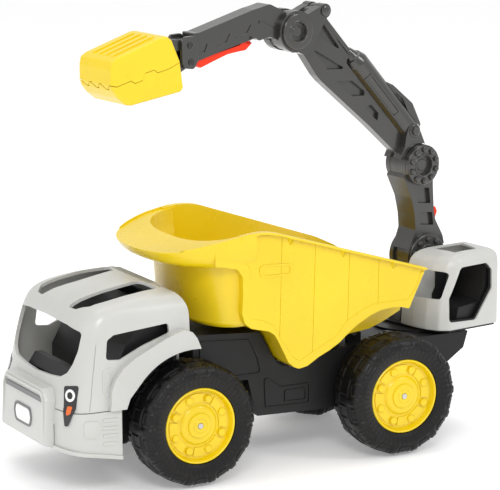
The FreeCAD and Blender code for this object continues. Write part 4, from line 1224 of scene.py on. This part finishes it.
def stick(side, side_name):
    """One hollow half of the stick with its grooves and a small rivet."""
    low, high = span(side, MEETING, 13)
    outline = rounded(STICK, [0, 3, 8, 4, 8, 4, 2, 2, 4, 0, 3, 3, 8, 0])
    piece = fuse(prism(outline, low, high), disc(WRIST, 27, low, high, steps=72))
    hollow = prism([(268, 560), (268, 592), (290, 592), (369, 577), (369, 540)], *span(side, -1, 10.5))
    piece = cut(piece, hollow, bore(WRIST, PIN_HOLE), bore(TRIGGER_PIN, 2.6))
    grooves = []
    for hook in HOOKS:
        back = [(x + dx, z + dz) for (x, z), (dx, dz) in zip(hook, HOOK_WIDTHS)]
        grooves.append(prism(list(hook) + back[::-1], *span(side, 11.6, 16)))
    grooves.append(prism([(262, 603), (236, 590), (236.8, 588.6), (262.8, 601.4)], *span(side, 12.2, 16)))
    piece = fuse(cut(piece, *grooves), disc((262, 600), 2.4, *span(side, 12.5, 14.2), steps=20))
    stand_in(piece, "stick_" + side_name, ARM_GREY, "forearm", bevel=1.0)


YOKE = [
    (367, 558), (368, 586), (374, 591), (389, 590.5), (394.5, 584), (394, 556), (389, 548.5), (375, 546.5),
]


def yoke(side, side_name):
    """The plate on the stick's end with a sunk hole for each jaw pin."""
    plate = prism(rounded(YOKE, 5), *span(side, 13.1, 18))
    for pin in (UPPER_JAW_PIN, LOWER_JAW_PIN):
        plate = cut(plate, disc(pin, 4.6, *span(side, 16.6, 20)), bore(pin, SMALL_HOLE))
    stand_in(plate, "yoke_" + side_name, ARM_GREY, "forearm", bevel=1.2, segments=3)


def yoke_pins():
    """The two steel pins that the jaws turn on."""
    profile = [(-17.6, 0.01), (-17.6, 2), (-17, 3), (17, 3), (17.6, 2), (17.6, 0.01)]
    pins = [lathe(profile, pin, 28) for pin in (UPPER_JAW_PIN, LOWER_JAW_PIN)]
    stand_in(join(*pins), "yoke_pins", DARK_STEEL, "forearm", bevel=0, tidy=False)


TRIGGER = [
    (362, 557), (365.5, 551), (360, 545.5), (336, 553.5), (314, 560.5), (297, 562.5), (284, 563.5),
    (274, 572), (273, 580), (279, 586), (286, 580), (294, 571),
]
LOCK_LEVER = [(-30, 294), (-30, 306), (-44, 308), (-56, 311), (-60, 303), (-55, 291), (-42, 294)]
LEVER_PIN = (-36, 300)


def trigger():
    """The red finger lever under the stick, narrowed where it turns on its pin."""
    outline = rounded(TRIGGER, [3, 4, 5, 20, 20, 16, 7, 4, 3, 3, 3, 6])
    sides = [disc(TRIGGER_PIN, 8.5, *span(side, 6, 14)) for side, _ in SIDES]
    piece = cut(prism(outline, -9.5, 9.5), *sides, disc(TRIGGER_PIN, 2.6, -20, 20))
    stand_in(piece, "trigger", RED, "finger_lever", bevel=1.8, segments=4)


def lock_lever():
    """The red lever at the back of the lower boom."""
    outline = rounded(LOCK_LEVER, [3, 3, 4, 4, 4, 4, 4])
    piece = cut(prism(outline, -6, 6), disc(LEVER_PIN, 2.1, -10, 10))
    stand_in(piece, "lock_lever", RED, "lever", bevel=1.5, segments=3)


tower()
for side, side_name in SIDES:
    lower_boom(side, side_name)
    upper_boom(side, side_name)
    stick(side, side_name)
    yoke(side, side_name)
cover_rings("shoulder_rings", "lower_arm", SHOULDER, 32.5, 15, bolt_ring=25.5)
cover_rings("elbow_rings", "lower_arm", ELBOW, 28.9, 14, bolt_ring=22.6, rise=3.5)
cover_rings("wrist_rings", "upper_arm", WRIST, 25, 13, rise=1.0, well=-1.0)
ram()
yoke_pins()
trigger()
lock_lever()

# ---------------------------------------------------------------- bucket

JAW_HALF = 38.0
JAW_WALL = 3
LUG_HALF = 12.5
# The seam between the jaws, from the hinge side to the front.
SPLIT = [
    (411, 562), (431, 554), (447, 551), (453, 555), (467, 552), (471, 543), (483, 540), (489, 544),
    (511, 538), (520, 540),
]
SEAM_GAP = 0.8
RIDGE_PLACES = (-22, -7.5, 7.5, 22)
TOOTH_PLACES = (-20, 3, 26)


def seam_height(x):
    """The seam's height at a place along the bucket."""
    for a, b in zip(SPLIT, SPLIT[1:]):
        if a[0] <= x <= b[0]:
            return a[1] + (b[1] - a[1]) * (x - a[0]) / (b[0] - a[0])
    return SPLIT[0][1] if x < SPLIT[0][0] else SPLIT[-1][1]


def soften_sides(piece):
    """Rounds the edges round both side faces, except along the seam."""
    soft = piece.modifiers.new("round", "BEVEL")
    soft.width = 6.5
    soft.segments = 5
    soft.limit_method = "WEIGHT"
    weights = piece.data.attributes.new("bevel_weight_edge", "FLOAT", "EDGE")
    for edge in piece.data.edges:
        a, b = (piece.data.vertices[i].co for i in edge.vertices)
        on_side = abs(a.y - b.y) < 0.01
        on_seam = abs((a.z + b.z) / 2 - seam_height((a.x + b.x) / 2)) < 1.2
        weights.data[edge.index].value = 1.0 if on_side and not on_seam else 0.0
    bake(piece)


def jaw(node, body, outline, radii, mouth, lug, pin):
    """A thin-walled half of the bucket, and its dark hinge lug as a piece of its own."""
    shell = prism(rounded(outline, radii, 6), -JAW_HALF, JAW_HALF)
    soften_sides(shell)
    shell = cut(shell, prism(mouth, JAW_WALL - JAW_HALF, JAW_HALF - JAW_WALL))
    hinge = fuse(prism(lug, -LUG_HALF, LUG_HALF), disc(pin, 7, -LUG_HALF, LUG_HALF))
    hinge = cut(hinge, prism(outline, -JAW_HALF, JAW_HALF), disc(pin, SMALL_HOLE, -JAW_HALF, JAW_HALF))
    finish(hinge, node + "_look_hinge", ARM_GREY, body, bevel=0.7)
    return shell


def top_ridge(y):
    """One of the low ribs along the bucket's top."""
    return prism([(444, 594), (446, 596.9), (508, 577.4), (512, 573)], y - 3.4, y + 3.4)


def front_tooth(y):
    """A tooth of the upper jaw that hangs into the lower jaw's front wall."""
    lip = [(514.7, 533), (516.4, 540), (517.6, 544), (519.8, 544), (519.8, 539.6), (517.4, 533)]
    tooth = [(y - 11, 545), (y - 11, 538.6), (y - 2, 534), (y + 2, 534), (y + 5, 539.4), (y + 5, 545)]
    return common(prism(lip, y - 12, y + 6), prism(tooth, 510, 524, "x"))


def front_notch(y):
    """The room for a tooth, with a gap all round."""
    top = 546
    notch = [
        (y - 12, top), (y - 12, 537.6), (y - 2.4, 533.1), (y + 2.6, 533.1), (y + 6, 538.8), (y + 6, top),
    ]
    return prism(notch, 508, 524, "x")


def bucket():
    """The two jaws: ridges and teeth on the upper one, notches in the lower one."""
    outline = SPLIT + [(520, 560), (518, 570), (510, 575), (440, 596.5), (432, 597), (424, 591)]
    mouth = [
        (414.5, 556), (426.5, 588), (434, 593.5), (509, 571.5), (515, 567), (517, 540), (517, 530),
        (430, 530),
    ]
    lug = [(381.5, 572), (381.5, 585.8), (400, 587), (424, 589), (418, 574), (400, 572)]
    upper = jaw("upper_jaw", "top_jaw", outline, [0] * 10 + [3, 5, 6, 8, 6, 5], mouth, lug, UPPER_JAW_PIN)
    upper = fuse(upper, *[top_ridge(y) for y in RIDGE_PLACES], *[front_tooth(y) for y in TOOTH_PLACES])
    stand_in(upper, "upper_jaw", YELLOW, "top_jaw", bevel=0.7)
    outline = [(x, z - SEAM_GAP) for x, z in SPLIT]
    outline += [(517, 532), (510, 523), (496, 512), (488, 511), (410, 522), (406, 527)]
    mouth = [
        (413.5, 566), (409.5, 528), (411, 525), (488, 514), (495, 515), (508, 525), (514.5, 534),
        (517, 545), (510, 570), (430, 575),
    ]
    lug = [(380, 549.8), (380, 563.4), (400, 558), (413, 552), (411, 534), (400, 540)]
    lower = jaw("lower_jaw", "bottom_jaw", outline, [0] * 10 + [3, 6, 7, 6, 5, 4], mouth, lug, LOWER_JAW_PIN)
    lower = cut(lower, *[front_notch(y) for y in TOOTH_PLACES])
    stand_in(lower, "lower_jaw", YELLOW, "bottom_jaw", bevel=0.7)


bucket()

# ---------------------------------------------------------------- room, light and camera

PAPER = 30
CAMERA_AZIMUTH = math.radians(151.28)
CAMERA_ELEVATION = math.radians(11.89)
CAMERA_PLACE = (1.81514 + SHIFT, 3.30156, 1.0805)
CAMERA_LENS = 201.6


def area_light(name, place, target, width, power):
    """A soft lamp that faces a target."""
    lamp = bpy.data.lights.new(name, "AREA")
    lamp.shape = "RECTANGLE"
    lamp.size = width
    lamp.size_y = width * 0.7
    lamp.energy = power
    holder = bpy.data.objects.new(name, lamp)
    holder.location = place
    holder.rotation_euler = (Vector(target) - Vector(place)).to_track_quat("-Z", "Y").to_euler()
    bpy.context.scene.collection.objects.link(holder)


def studio():
    """White surroundings, brighter to the camera than to the truck."""
    world = bpy.data.worlds.new("studio")
    bpy.context.scene.world = world
    world.use_nodes = True
    tree = world.node_tree
    background = tree.nodes["Background"]
    background.inputs["Color"].default_value = (1, 1, 1, 1)
    level = add_node(tree, "MapRange", To_Min=0.78, To_Max=1.0)
    tree.links.new(add_node(tree, "LightPath").outputs["Is Camera Ray"], level.inputs["Value"])
    tree.links.new(level.outputs["Result"], background.inputs["Strength"])


def paper_floor():
    """A pale floor with a faint glow of its own, so that it runs into the white behind it."""
    shader = FLOOR.node_tree.nodes["Principled BSDF"]
    shader.inputs["Emission Color"].default_value = (1, 1, 1, 1)
    shader.inputs["Emission Strength"].default_value = 0.22
    corners = [(-PAPER, -PAPER, 0), (PAPER, -PAPER, 0), (PAPER, PAPER, 0), (-PAPER, PAPER, 0)]
    floor = make(corners, [(0, 1, 2, 3)])
    floor.name = "floor"
    floor.data.materials.append(FLOOR)


def photo_camera():
    """The camera in front of the truck's left corner, as in the photograph."""
    data = bpy.data.cameras.new("camera")
    data.sensor_width = 36.0
    data.lens = CAMERA_LENS
    data.clip_end = 60
    camera = bpy.data.objects.new("camera", data)
    bpy.context.scene.collection.objects.link(camera)
    camera.location = CAMERA_PLACE
    forward = Vector((-math.sin(CAMERA_AZIMUTH), math.cos(CAMERA_AZIMUTH), 0))
    sight = forward * math.cos(CAMERA_ELEVATION) - Vector((0, 0, math.sin(CAMERA_ELEVATION)))
    camera.rotation_euler = sight.to_track_quat("-Z", "Y").to_euler()
    bpy.context.scene.camera = camera


area_light("key", (1.2, 2.4, 2.2), (0, 0, 0.25), 1.1, 30)
area_light("fill", (-1.6, 2.0, 2.0), (0, 0, 0.4), 0.6, 14)
area_light("front", (2.6, 0.3, 1.1), (0, 0, 0.25), 1.4, 5)
area_light("top", (-0.2, -0.4, 2.6), (0, 0, 0.2), 2.2, 18)
studio()
paper_floor()
photo_camera()
bpy.context.scene.view_settings.view_transform = "Standard"
